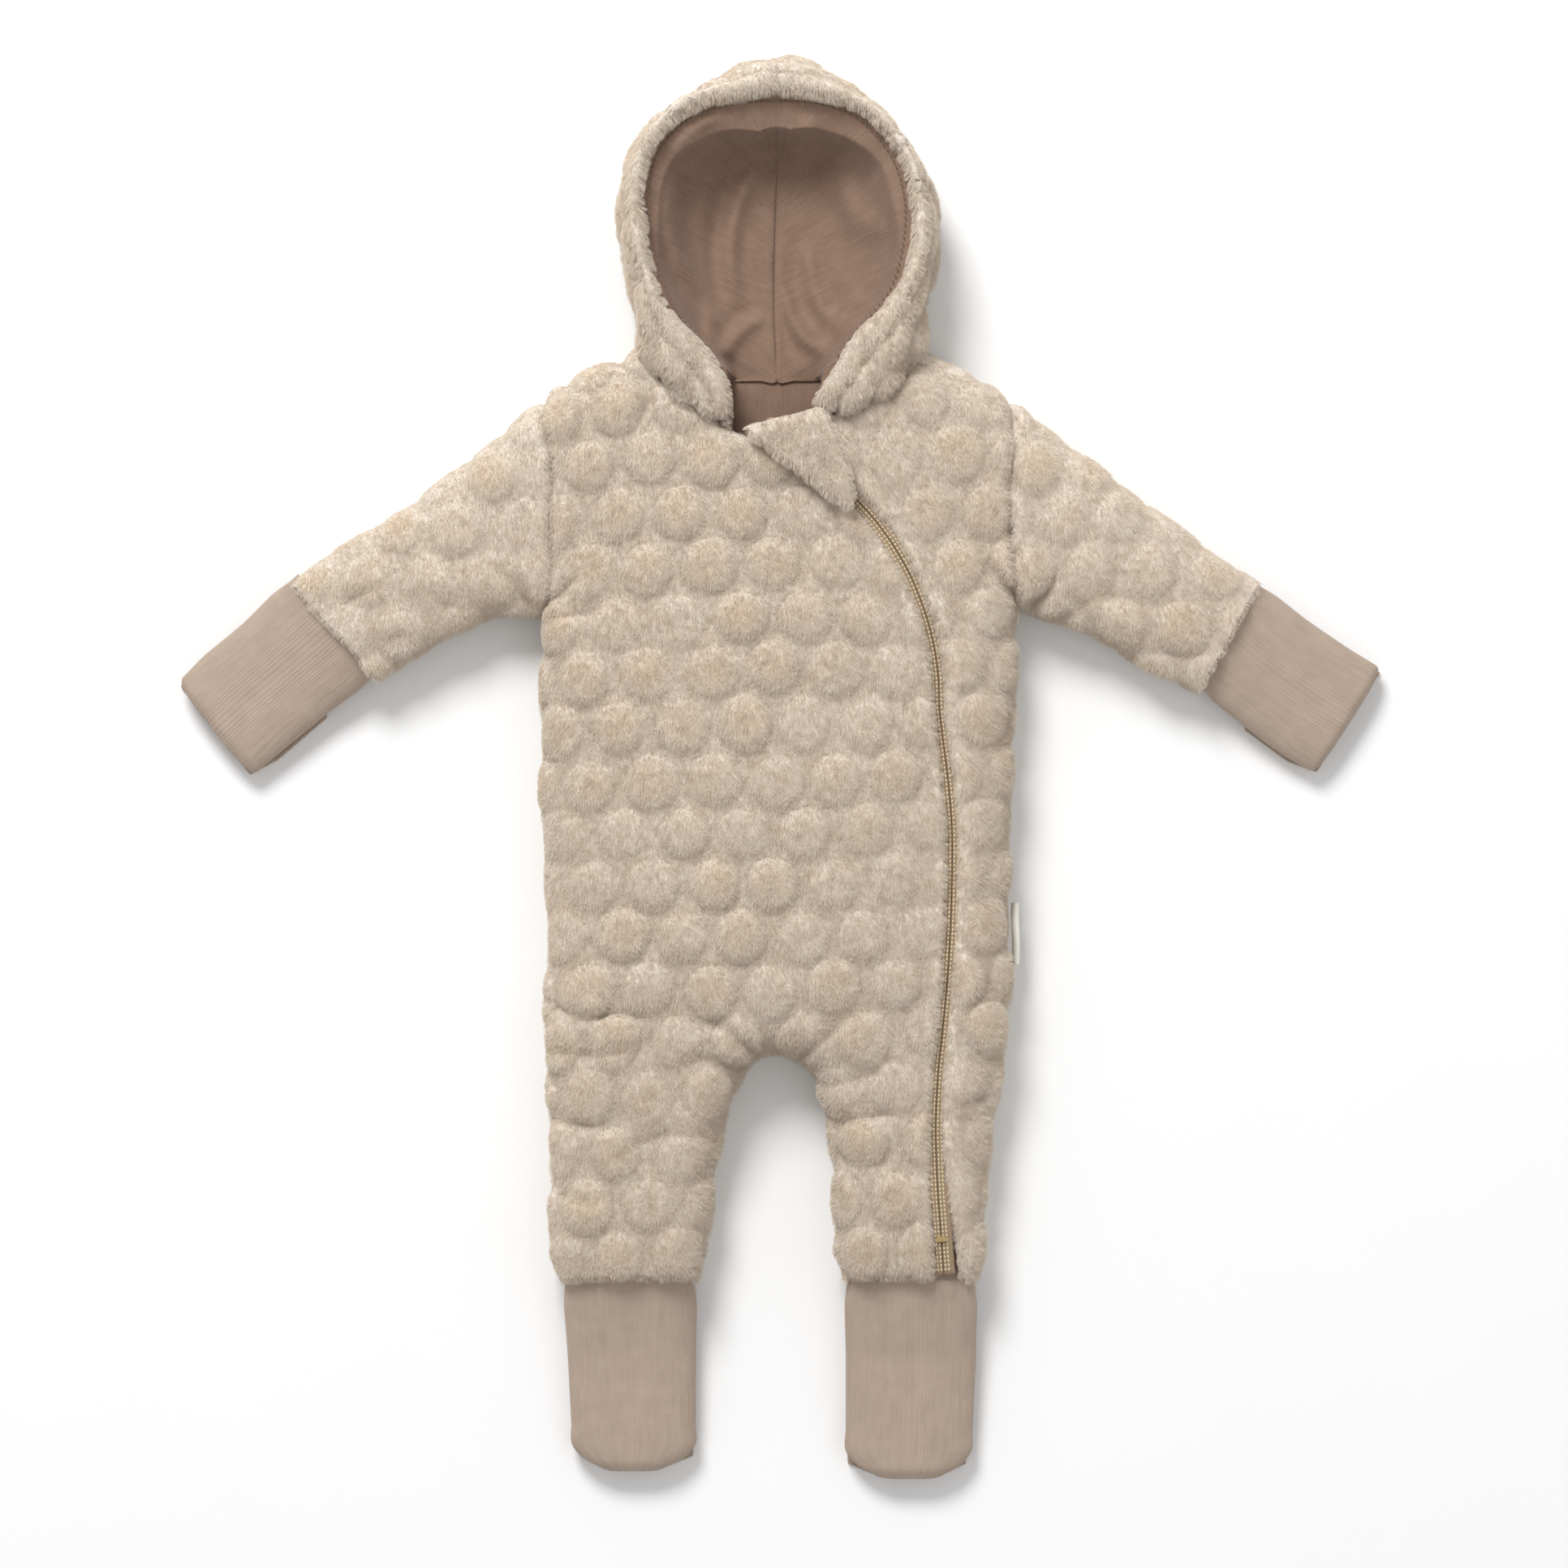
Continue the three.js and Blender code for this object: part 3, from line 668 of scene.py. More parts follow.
# Creases in the plush: x, y, towards x, y, depth and width
CREASES = (
    (-116, 84, -96, 104, 2.6, 5), (-118, 96, -98, 128, 1.5, 5), (-122, 84, -146, 104, 2.2, 5),
    (-108, 78, -84, 84, 1.8, 5), (116, 84, 98, 106, 2.6, 5), (119, 98, 102, 132, 1.6, 5),
    (122, 84, 140, 106, 2.4, 5), (128, 80, 160, 92, 1.5, 5), (-12, -137, -44, -120, 2.2, 6),
    (-16, -145, -58, -142, 2.0, 6), (8, -137, 34, -116, 2.0, 6), (12, -148, 52, -146, 2.2, 6),
    (-114, -112, -66, -118, 2.4, 5), (-112, -136, -60, -131, 2.0, 6), (-116, -166, -76, -172, 1.8, 6),
    (-40, -176, -84, -190, 1.8, 6), (-113, -204, -78, -209, 1.6, 6), (30, -172, 62, -160, 1.8, 6),
    (30, -186, 60, -192, 1.6, 6), (98, -158, 84, -166, 1.6, 5), (-196, 92, -226, 74, 1.6, 4),
    (-186, 72, -206, 60, 1.6, 4), (-160, 84, -186, 88, 1.2, 5), (150, 96, 186, 82, 1.4, 5),
    (186, 66, 216, 62, 1.4, 5), (112, 178, 124, 152, 1.4, 5), (-112, 180, -122, 156, 1.4, 5),
    (-20, 166, -52, 150, 1.4, 7), (62, 184, 78, 160, 1.6, 6), (-62, 186, -76, 164, 1.4, 6),
)


def creases(x, y):
    """How far the creases press the plush in, with a soft ridge along one side of each."""
    total = np.zeros(np.shape(x))
    for *line, depth, width in CREASES:
        t, off = beside(x, y, line, 0.08)
        fade = smoothstep(t, -0.12, 0.18) * (1 - smoothstep(t, 0.45, 1.15))
        total += depth * fade * (0.45 * bell(off - width * 1.3, width) - bell(off, width * 0.6))
    return total


# ---------------------------------------------------------------- trunk, legs and sleeves

CREST_STEP = 8.0
CREST_INSIDE = 19
CREST_LOWEST = 28
CREST_BLUR = 20


def crest_map(xs, ys, outline):
    """How high the CAD's front stands inside its rounded edges, spread smoothly over the plan."""
    tree = cad_tree(*PANELS[:2], *SLEEVES)
    step = CREST_STEP
    gx, gy = np.arange(xs[0], xs[-1] + step, step), np.arange(ys[0], ys[-1] + step, step)
    grid = np.array([(x, y) for x in gx for y in gy])
    inside = outline.distance(grid)[0] > CREST_INSIDE
    level = np.zeros(len(grid))
    for k in np.flatnonzero(inside):
        hit = tree.ray_cast(Vector((*grid[k], 200)), Vector((0, 0, -1)))[0]
        level[k] = hit.z if hit else 0
    weight = (level > CREST_LOWEST).astype(float).reshape(len(gx), len(gy))
    level = level.reshape(len(gx), len(gy)) * weight
    blur_x = bell(gx[:, None] - gx[None, :], CREST_BLUR)
    blur_y = bell(gy[:, None] - gy[None, :], CREST_BLUR)
    level = blur_x @ level @ blur_y
    weight = blur_x @ weight @ blur_y
    level /= np.maximum(weight, 1e-6)

    def at(x, y):
        u = np.clip((x - gx[0]) / step, 0, len(gx) - 1.001)
        v = np.clip((y - gy[0]) / step, 0, len(gy) - 1.001)
        i, j = u.astype(int), v.astype(int)
        f, g = u - i, v - j
        return ((level[i, j] * (1 - g) + level[i, j + 1] * g) * (1 - f)
                + (level[i + 1, j] * (1 - g) + level[i + 1, j + 1] * g) * f)

    return at


# The two sleeves' hems in plan, each from end to end
HEMS = (
    ((-244.2, 95.3), (-199.4, 46.8)),
    ((207.4, 40.6), (237.0, 94.0)),
)


def near_hems(x, y):
    """Which points are near each hem: right hand, left hand, legs."""
    return x < -150, x > 150, y < -200


def hem_distances(xy):
    """How far each point is inside each hem: right hand, left hand, legs."""
    found = []
    for a, b in HEMS:
        a, b = np.array(a), np.array(b)
        d = (b - a) / np.linalg.norm(b - a)
        inward = np.array([-d[1], d[0]])
        inside = (xy - a) @ inward
        ripple = 0.8 * noise((xy - a) @ d, 0 * inside, 7, 31)
        found.append((inside + ripple, np.tile(inward, (len(xy), 1))))
    ripple = 0.8 * noise(xy[:, 0], 0 * xy[:, 0], 7, 32)
    legs = xy[:, 1] - HEM_Y + ripple
    found.append((legs, np.tile([0.0, 1.0], (len(xy), 1))))
    return found


def back_neck_y(x):
    """Where the back panel meets the hood."""
    return NECK_SEAM_Y + 1 + 0.19 * np.abs(x - HOOD_SEAM_X)


def on_sleeve(beyond, y):
    """Whether points that far beyond an armhole's line are on the sleeve, above the armpit."""
    return (beyond > 0) & (y > 84 - 1.4 * beyond)


class Body:
    """One skin over the trunk, legs and sleeves, and the pieces that it is cut into."""

    def __init__(self):
        self.outline = Line(np.concatenate([OUTLINE, OUTLINE[:1]]))
        self.zip = Line(zip_path())
        low, high = OUTLINE.min(0) - 4, OUTLINE.max(0) + 4
        self.xs, self.ys = np.arange(low[0], high[0], CELL), np.arange(low[1], high[1], CELL)
        self.crest = crest_map(self.xs, self.ys, self.outline)
        self.build()

    def armhole(self, xy):
        """How far each point is beyond the right armhole seam, and beyond the left one."""
        x, y = xy[:, 0], xy[:, 1]
        right = (-115.4 + (189 - y) * 0.022 + 1.6 * np.sin((y - 84) / 34)) - x
        left = x - (113.2 + (189 - y) * 0.026 - 1.6 * np.sin((y - 84) / 34))
        return right, left

    def label(self, xy, back=False):
        """The piece at each point: 0 none, 1 and 2 the fronts or 5 the back, 3 and 4 the sleeves."""
        x, y = xy[:, 0], xy[:, 1]
        inside = self.outline.distance(xy)[0] > 0
        right, left = self.armhole(xy)
        offset, _, index = self.zip.distance(xy)
        label = np.where(offset > 0, 2, 1)
        if back:
            label[:] = 5
            label[(y > back_neck_y(x)) & (np.abs(x) < 66.5)] = 0
        else:
            width = slot_half_width(self.zip.points[index, 1])
            label[np.abs(offset) < width] = 0
            label[y > neck_y(x)] = 0
        label[on_sleeve(right, y)] = 3
        label[on_sleeve(left, y)] = 4
        hands_right, hands_left, legs = (d for d, _ in hem_distances(xy))
        label[(label == 3) & (hands_right < 0)] = 0
        label[(label == 4) & (hands_left < 0)] = 0
        label[(y < -200) & (legs < 0)] = 0
        label[~inside] = 0
        return label

    def snap(self, xy, rim):
        """Moves the vertices on a piece's rim onto the seam, hem or edge that is nearest."""
        p = xy[rim]
        fields = [self.outline.distance(p)[:2]]
        offset, gradient, index = self.zip.distance(p)
        width = slot_half_width(self.zip.points[index, 1])
        fields.append((np.abs(offset) - width, gradient * np.sign(offset)[:, None]))
        right, left = self.armhole(p)
        sideways = np.tile([1.0, 0.0], (len(p), 1))
        fields += [(right, -sideways), (left, sideways)]
        slope = (neck_y(p[:, 0] + 0.5) - neck_y(p[:, 0] - 0.5)).clip(-4, 4)
        size = np.sqrt(1 + slope**2)
        neck = np.where(np.abs(p[:, 0]) < 67, (p[:, 1] - neck_y(p[:, 0])) / size, 99)
        fields.append((neck, np.stack([-slope / size, 1 / size], 1)))
        fields.append((np.where(np.abs(p[:, 0]) < 66, p[:, 1] - back_neck_y(p[:, 0]), 99),
                       np.tile([0.0, 1.0], (len(p), 1))))
        for (distance, inward), fits in zip(hem_distances(p), near_hems(*p.T)):
            fields.append((np.where(fits, distance, 99), inward))
        values = np.stack([f[0] for f in fields])
        choice = np.abs(values).argmin(0)
        rows = np.arange(len(p))
        value = values[choice, rows]
        gradient = np.stack([f[1] for f in fields])[choice, rows]
        value = np.where(np.abs(value) < 1.3 * CELL, value, 0)
        xy = xy.copy()
        xy[rim] = p - gradient * value[:, None]
        return xy

    def build(self):
        nx, ny = len(self.xs), len(self.ys)
        xy = np.stack(np.meshgrid(self.xs, self.ys, indexing="ij"), -1).reshape(-1, 2)
        i, j = np.meshgrid(np.arange(nx - 1), np.arange(ny - 1), indexing="ij")
        corner = (i * ny + j).ravel()
        quads = np.stack([corner, corner + ny, corner + ny + 1, corner + 1], 1)
        centres = xy[quads].mean(1)
        near = self.rough_inside(centres)
        quads, centres = quads[near], centres[near]
        sides = []
        for back in (False, True):
            label = self.label(centres, back)
            sides.append((quads[label > 0], label[label > 0]))
        self.sides = []
        for back, (faces, label) in zip((False, True), sides):
            rims = np.zeros(nx * ny, bool)
            for value in np.unique(label):
                a, _ = border_edges(faces[label == value], nx * ny)
                rims[a] = True
            self.sides.append(self.lift(self.snap(xy, rims), faces, label, back))

    def rough_inside(self, centres):
        """Drops what is far outside the plan, to save time."""
        step = 12.0
        low = centres.min(0) - step
        seen = set(map(tuple, np.floor((spaced(OUTLINE, 2) - low) / step).astype(int)))
        cell = np.floor((centres - low) / step).astype(int)
        cells, back = np.unique(cell, axis=0, return_inverse=True)
        keep = self.outline.distance((cells + 0.5) * step + low)[0] > -step
        keep |= np.array([tuple(c) in seen for c in cells])
        return keep[back.ravel()]

    def lift(self, xy, faces, label, back):
        """From plan to space, on the front or the back: points, outward faces and cloth places."""
        flat, faces, _ = compact(xy, faces)
        depth, inward, _ = self.outline.distance(flat)
        depth = np.maximum(depth, 0)
        depth[depth < 0.05] = 0
        round_off = BACK_ROUND if back else EDGE_ROUND
        share = np.minimum(depth / round_off, 1)
        angle = share * math.pi / 2
        shift = np.where(share < 1, depth - round_off * (1 - np.cos(angle)), 0)
        plan = flat - inward * shift[:, None]
        if back:
            z = SIDE_SEAM_Z * (1 - np.sin(angle))
            faces = faces[:, ::-1]
        else:
            crest = self.crest(*flat.T)
            for (distance, _), fits in zip(hem_distances(flat), near_hems(*flat.T)):
                tuck = np.where(fits, np.clip(distance / HEM_ROUND, 0, 1), 1)
                level = np.minimum(crest, HEM_LEVEL)
                crest = level + (crest - level) * np.sqrt(1 - (1 - tuck) ** 2)
            z = SIDE_SEAM_Z + (crest - SIDE_SEAM_Z) * np.sin(angle) ** EDGE_POWER
        cloth = flat - inward * (0.4 * np.maximum(round_off - depth, 0))[:, None]
        return {"flat": flat, "cloth": cloth, "label": label, "faces": faces, "depth": depth,
                "points": np.column_stack([plan, z])}

    def height(self, x, y):
        """The front's level at a point, without its dots."""
        flat = np.array([[x, y]], float)
        depth = max(self.outline.distance(flat)[0][0], 0)
        crest = self.crest(*flat.T)[0]
        angle = min(depth / EDGE_ROUND, 1) * math.pi / 2
        return SIDE_SEAM_Z + (crest - SIDE_SEAM_Z) * math.sin(angle) ** EDGE_POWER


def pile_relief(side, back):
    """How far the plush stands out at each point, and its tint."""
    cloth, flat = side["cloth"], side["flat"]
    x, y = cloth.T
    right, left = BODY.armhole(flat)
    # Each sleeve's dots run along its own arm
    for beyond, hand in ((right, 0), (left, 1)):
        root, wrist = arm(hand)
        d = (wrist - root) / np.linalg.norm(wrist - root)
        rel = cloth - root
        on = on_sleeve(beyond, flat[:, 1])
        x = np.where(on, rel @ np.array([-d[1], d[0]]) + 7 + 300 * hand, x)
        y = np.where(on, rel @ d + 5, y)
    x, y = x + 2.6 * noise(x, y, 70, 6), y + 3.4 * noise(x, y, 62, 7) - 0.03 * x
    rise, which = dots(x + 4.0, y + (9 if back else 1.5), 11 if back else 3)
    strength = 0.78 + 0.35 * noise(flat[:, 0], flat[:, 1], 55, 8)
    strength = np.where((right > 0) | (left > 0), strength * 0.75, strength)
    relief = DOT_RISE * rise * strength * (0.7 + 0.5 * which)
    # Unevenness from the size of a tuft up to that of a dot and a half
    relief += 0.2 * noise(x, y, 3.6, 21) + 0.3 * noise(x, y, 7.5, 22) + 1.1 * noise(x, y, 38, 23)
    if not back:
        relief += creases(flat[:, 0], flat[:, 1])
        # Beside the zip the dots flatten, and the edge rounds over into the slot
        offset, _, index = BODY.zip.distance(flat)
        gap = np.abs(offset) - slot_half_width(BODY.zip.points[index, 1])
        beyond_edge = smoothstep(gap, -0.5, 7)
        relief = relief * (0.35 + 0.65 * beyond_edge) + 1.0 * bell(gap - 5, 4)
        relief -= 2.6 * (1 - np.sqrt(np.clip(1 - (1 - np.clip(gap / 3.5, 0, 1)) ** 2, 0, 1)))
        neck = np.where(np.abs(flat[:, 0]) < 67, neck_y(flat[:, 0]) - flat[:, 1], 99)
        relief -= 1.5 * bell(neck, 4)
    # The armhole seams and the side seams lie in grooves
    for beyond in (right, left):
        on_seam = (flat[:, 1] > 60) & (flat[:, 1] < 200)
        relief -= np.where(on_seam, 2.3 * bell(beyond, 2.6) - 0.7 * bell(np.abs(beyond) - 7, 4), 0)
    relief -= 1.2 * bell(side["depth"], 1.6)
    # The back is pressed flatter by what lies on it
    if back:
        relief -= BACK_INSET * smoothstep(side["depth"], 3, 20)
    tint = rise**2 * smoothstep(which + 0.25 * noise(flat[:, 0], flat[:, 1], 60, 9), 0.2, 0.8)
    return relief - PILE_INSET, np.clip(0.8 * tint, 0, 1)


def weld_sides(front, back):
    """Front and back as one skin: the point that stands for each, all points and all faces."""
    n = len(front["points"])
    points = np.concatenate([front["points"], back["points"]])
    faces = np.concatenate([front["faces"], back["faces"] + n])
    key = np.round(points, 2)
    _, first, same = np.unique(key, axis=0, return_index=True, return_inverse=True)
    return first[same.ravel()], points, faces


def make_body():
    """All the plush and lining pieces of the trunk, legs and sleeves."""
    front, back = BODY.sides
    stand_for, points, faces = weld_sides(front, back)
    faces = stand_for[faces]
    normals = vertex_normals(points, faces)
    relief, tint = (np.concatenate(pair) for pair in zip(
        pile_relief(front, False), pile_relief(back, True)))
    label = np.concatenate([front["label"], back["label"]])
    plush = points + normals * relief[:, None]
    plush_normals = vertex_normals(plush, faces)
    made = {}
    for value, name, node in ((1, "front_right", PANELS[0]), (2, "front_left", PANELS[1]),
                              (5, "back", PANELS[2]), (3, "sleeve_plush_right", SLEEVES[0]),
                              (4, "sleeve_plush_left", SLEEVES[1])):
        _, local, used = compact(plush, faces[label == value])
        shape = shell(plush[used], local, plush_normals[used], 0, PLUSH_SHELL)
        made[name] = finish_plush(name, shape, tint[used], node)
        lining = node.replace("panel", "lining").replace("sleeve", "sleeve_lining")
        depth = LINING_DEPTH + PILE_INSET + (BACK_LINING_DEEPER if name == "back" else 0)
        inner = shell(points[used], local, normals[used], depth, LINING_SHELL)
        made[lining] = finish_jersey("inner_" + name, inner, lining, points[used, :2] / MM)
    return made


def finish_plush(name, shape, tint, *nodes):
    points, faces, outer = shape
    piece = make(name, points, faces, PLUSH, slot="plush", replaces=nodes)
    ready_for_pile(piece, np.concatenate([tint, tint]), outer)
    return piece


def finish_jersey(name, shape, node, uv):
    points, faces, _ = shape
    piece = make(name, points, faces, LINING_JERSEY, slot="lining_jersey", replaces=(node,))
    set_uv(piece, np.concatenate([uv, uv]))
    return piece


# A strand comes out four times as long as its factors say
HAIR_STEPS = 4.0
HAIR_LEAN = (0.15, -0.75, 0.0)
STRANDS_TO_ONE = 24


def grow_pile(piece, density, seed, length):
    """Short pile on the piece's outside: density in strands for each square millimetre."""
    area = sum(p.area for p in piece.data.polygons) * MM**2 / 2
    piece.data.materials.append(PILE)
    piece.modifiers.new("pile", "PARTICLE_SYSTEM")
    system = piece.particle_systems[0]
    system.seed = seed
    system.vertex_group_density = "pile"
    hair = system.settings
    hair.type = "HAIR"
    hair.use_advanced_hair = True
    hair.count = int(area * density / STRANDS_TO_ONE)
    hair.hair_step = 3
    hair.render_step = 2
    hair.display_step = 2
    hair.emit_from = "FACE"
    hair.use_modifier_stack = False
    hair.normal_factor = length / MM / HAIR_STEPS
    hair.object_align_factor = [part * length / MM / HAIR_STEPS for part in HAIR_LEAN]
    hair.factor_random = 0.12 * length / MM / HAIR_STEPS
    hair.child_type = "INTERPOLATED"
    hair.rendered_child_count = STRANDS_TO_ONE
    hair.roughness_1 = 0.0002
    hair.roughness_1_size = 0.004
    hair.roughness_endpoint = 0.0004
    hair.child_length = 1.0
    hair.child_length_threshold = 0.2
    hair.root_radius = 0.13
    hair.tip_radius = 0.06
    hair.radius_scale = 0.001
    hair.material = 2


# ---------------------------------------------------------------- hood

HOOD_MIDDLE = (0.0, 262.0)
LIP_DROP = 9.0
LIP_RADIUS = 5.0
BAND_WIDTH = 13.0

# Stations round the hood's opening, from the right of the throat over the crown to the left:
# the rim's inner edge x, y and level, then where the outside meets the neck seam or,
# as a direction in degrees from the hood's middle, its silhouette.
HOOD_STATIONS = (
    (-23.5, 170.0, 46, "neck", -31.0), (-25.0, 188.0, 53, "neck", -37.0),
    (-33.0, 203.0, 55, "neck", -46.0), (-43.5, 215.5, 56, "neck", -57.5),
    (-54.0, 227.5, 57, "neck", -67.4), (-61.0, 243.0, 58, "side", 206.0),
    (-65.6, 262.0, 59, "side", 185.0), (-68.0, 282.0, 60, "side", 164.0),
    (-63.0, 305.0, 60, "side", 145.0), (-46.0, 323.0, 60, "side", 126.0),
    (-24.0, 330.0, 60, "side", 106.5), (-1.6, 332.0, 61, "side", 90.5),
    (22.0, 330.0, 60, "side", 73.5), (42.0, 321.5, 60, "side", 55.0),
    (57.5, 304.0, 60, "side", 37.0), (64.5, 282.0, 60, "side", 17.0),
    (63.5, 259.0, 59, "side", -6.0), (58.0, 240.0, 58, "side", -26.0),
    (49.0, 227.5, 57, "neck", 67.4), (39.0, 216.5, 56, "neck", 57.0),
    (29.5, 203.0, 55, "neck", 44.0), (19.5, 188.5, 53, "neck", 33.0),
    (16.5, 177.0, 46, "neck", 25.0),
)
# Where the lining ends opposite each station: along the neck seam, then up the seam behind
LINING_ENDS = (
    (-29, 191, 12.4), (-27, 193.4, 12.6), (-19, 193.4, 12.6), (-10, 193.4, 12.6), (-1.6, 193.4, 12.6),
    (-2.2, 209, 12), (-3.0, 228, 10), (-3.0, 248, 9), (-2.4, 268, 10), (-2.0, 284, 12),
    (-1.6, 294, 15), (-1.6, 299, 17), (-1.6, 294, 15), (-2.0, 284, 12), (-2.4, 268, 10),
    (-3.0, 248, 9), (-3.0, 228, 10), (-2.2, 209, 12), (-1.6, 193.4, 12.6), (7, 193.4, 12.6),
    (15, 193.4, 12.6), (21, 193.4, 12.6), (22, 191, 12.4),
)
# Folds in the hood's lining: x, y, towards x, y, height and width
LINING_FOLDS = (
    (-12, 300, -22, 232, 3.0, 5), (-52, 292, -42, 236, 3.4, 5), (-30, 322, -56, 300, 2.4, 5),
    (14, 262, 30, 216, 2.2, 4.5), (30, 290, 52, 262, 1.6, 6), (2, 236, 22, 206, 2.0, 4),
    (-8, 226, -28, 204, 2.0, 4), (-36, 226, -24, 204, 1.8, 4), (4, 300, 16, 322, 2.0, 5),
    (40, 236, 28, 212, 1.6, 4), (-4, 262, 4, 232, 1.4, 3.5),
)
STITCH_INSET = 4.0
HOOD_COLUMNS = 331
HOOD_ROWS = 56
HOOD_BACK_ROWS = 30
HOOD_LINING_ROWS = 64
HOOD_FOOT_Y = 206
HOOD_CROWN_Y = 346


def hood_curves():
    """The rim's inner edge, the outside's edge and the lining's end, column by column."""
    plan = Plan(*HOODS)
    rim, edge = [], []
    for x, y, level, kind, where in HOOD_STATIONS:
        rim.append((x, y, level))
        if kind == "neck":
            edge.append((where, neck_y(where), BODY.height(where, neck_y(where)) - 2))
        else:
            angle = math.radians(where)
            out = plan.reach(HOOD_MIDDLE, (math.cos(angle), math.sin(angle)))
            edge.append((out[0], out[1], SIDE_SEAM_Z + 1))
    return tuple(curve_through(c, HOOD_COLUMNS) for c in (rim, edge, LINING_ENDS))


def hood_profile(span, fall):
    """Across the plush from the lip inside the rim to its edge: outward, up, as even steps."""
    turn = np.linspace(math.pi, math.pi / 2, 14)
    lip = np.column_stack([LIP_RADIUS * (1 + np.cos(turn)), LIP_RADIUS * (np.sin(turn) - 1)])
    start = np.array([[0.3, -LIP_DROP]])
    sweep = np.linspace(0, math.pi / 2, 40)[1:]
    rest = max(span - LIP_RADIUS, 0.5)
    wall = [LIP_RADIUS + rest * np.sin(sweep) ** 0.9, -fall * (1 - np.cos(sweep) ** 0.95)]
    line = np.concatenate([start, lip, np.column_stack(wall)])
    s = lengths(line)
    at = np.linspace(0, s[-1], HOOD_ROWS)
    return np.interp(at, s, line[:, 0]), np.interp(at, s, line[:, 1]), at


def grid_faces(columns, rows, first=0):
    i, j = np.meshgrid(np.arange(columns - 1), np.arange(rows - 1), indexing="ij")
    corner = (first + i * rows + j).ravel()
    return np.stack([corner, corner + rows, corner + rows + 1, corner + 1], 1)


def hood_outside(rim, edge):
    """The hood's plush, front and back: points, faces, their places on the cloth and columns."""
    points, cloth = [], []
    along = lengths((rim + edge) / 2)
    for k in range(HOOD_COLUMNS):
        away = edge[k, :2] - rim[k, :2]
        span = max(np.linalg.norm(away), 1.0)
        out, up, at = hood_profile(span, rim[k, 2] - edge[k, 2])
        plan = rim[k, :2] + np.outer(out / span, away)
        points.append(np.column_stack([plan, rim[k, 2] + up]))
        cloth.append(np.column_stack([np.full(HOOD_ROWS, along[k]), at]))
    front = np.concatenate(points)
    faces = grid_faces(HOOD_COLUMNS, HOOD_ROWS)
    # The back, from the silhouette in to the seam down the middle
    sides = [k for k in range(HOOD_COLUMNS) if edge[k, 1] > 207.5 or abs(edge[k, 0]) > 67.4]
    first, last = sides[0], sides[-1]
    rows = HOOD_BACK_ROWS
    back, back_cloth = [], []
    for k in range(first, last + 1):
        start = edge[k]
        goal_y = min(NECK_SEAM_Y + (start[1] - HOOD_FOOT_Y), HOOD_CROWN_Y)
        away = np.array([HOOD_SEAM_X, goal_y]) - start[:2]
        span = np.linalg.norm(away)
        step = np.linspace(0, 1, rows)[1:] ** 1.25
        depth = step * span
        angle = np.minimum(depth / BACK_ROUND, 1) * math.pi / 2
        level = start[2] * (1 - np.sin(angle))
        back.append(np.column_stack([start[:2] + np.outer(step, away), level]))
        back_cloth.append(np.column_stack([np.full(rows - 1, along[k]), 70 + depth]))
    base = len(front)
    columns = last - first + 1
    faces = [faces, grid_faces(columns, rows - 1, base)]
    k = np.arange(columns - 1)
    top = (first + k) * HOOD_ROWS + HOOD_ROWS - 1
    low = base + k * (rows - 1)
    faces.append(np.stack([top, top + HOOD_ROWS, low + rows - 1, low], 1))
    points = np.concatenate([front, *back])
    cloth = np.concatenate([*cloth, *back_cloth])
    column = np.concatenate([np.repeat(np.arange(HOOD_COLUMNS), HOOD_ROWS),
                             np.repeat(np.arange(first, last + 1), rows - 1)])
    return points, np.concatenate(faces), cloth, column


def hood_halves(column, faces):
    """Which faces are in the hood's right half, and which in its left."""
    half = HOOD_COLUMNS // 2
    return column[faces].max(1) <= half, column[faces].min(1) >= half


def make_hood():
    """The hood's two plush halves, with their dots, rim groove and crown seam, and its lining."""
    rim, edge, ends = hood_curves()
    points, faces, cloth, column = hood_outside(rim, edge)
    normals = vertex_normals(points, faces)
    u, v = cloth[:, 0], cloth[:, 1]
    rise, which = dots(u + 3, v + 7, 41)
    strength = 0.35 + 0.65 * smoothstep(v, BAND_WIDTH + 3, BAND_WIDTH + 12)
    relief = DOT_RISE * 0.9 * rise * strength * (0.7 + 0.5 * which)
    relief += 0.9 * noise(u, v, 17, 42) + 0.4 * noise(u, v, 4, 43) + 0.3 * noise(u, v, 8, 44)
    # The groove along the rim's band, the crown seam, the neck seam and a soft ridge at the crown
    relief -= 1.8 * bell(v - BAND_WIDTH - LIP_DROP + 3, 1.9)
    seam = np.abs(column - HOOD_COLUMNS // 2) * 1.1
    relief -= np.where(v > 10, 1.6 * bell(seam, 2.4), 0.5 * bell(seam, 2))
    x, y, z = points.T
    relief -= np.where((y < HOOD_FOOT_Y) & (z > 30), 1.2 * bell(y - neck_y(x), 4), 0)
    relief += 1.5 * bell(y - 344.5, 3.0) * bell(x, 26) * (z > 30)
    points = points + normals * (relief - PILE_INSET * 0.8)[:, None]
    points[:, 2] = np.maximum(points[:, 2], 0.3)
    normals = vertex_normals(points, faces)
    tint = np.clip(0.6 * rise**2 * smoothstep(which, 0.55, 0.95) * strength, 0, 1)
    made = {}
    for side, own in zip(("right", "left"), hood_halves(column, faces)):
        _, local, used = compact(points, faces[own])
        shape = shell(points[used], local, normals[used], 0, HOOD_SHELL)
        made["hood_" + side] = finish_plush("hood_" + side, shape, tint[used], "hood_shell_" + side)
    made.update(make_hood_lining(rim, ends))
    return made


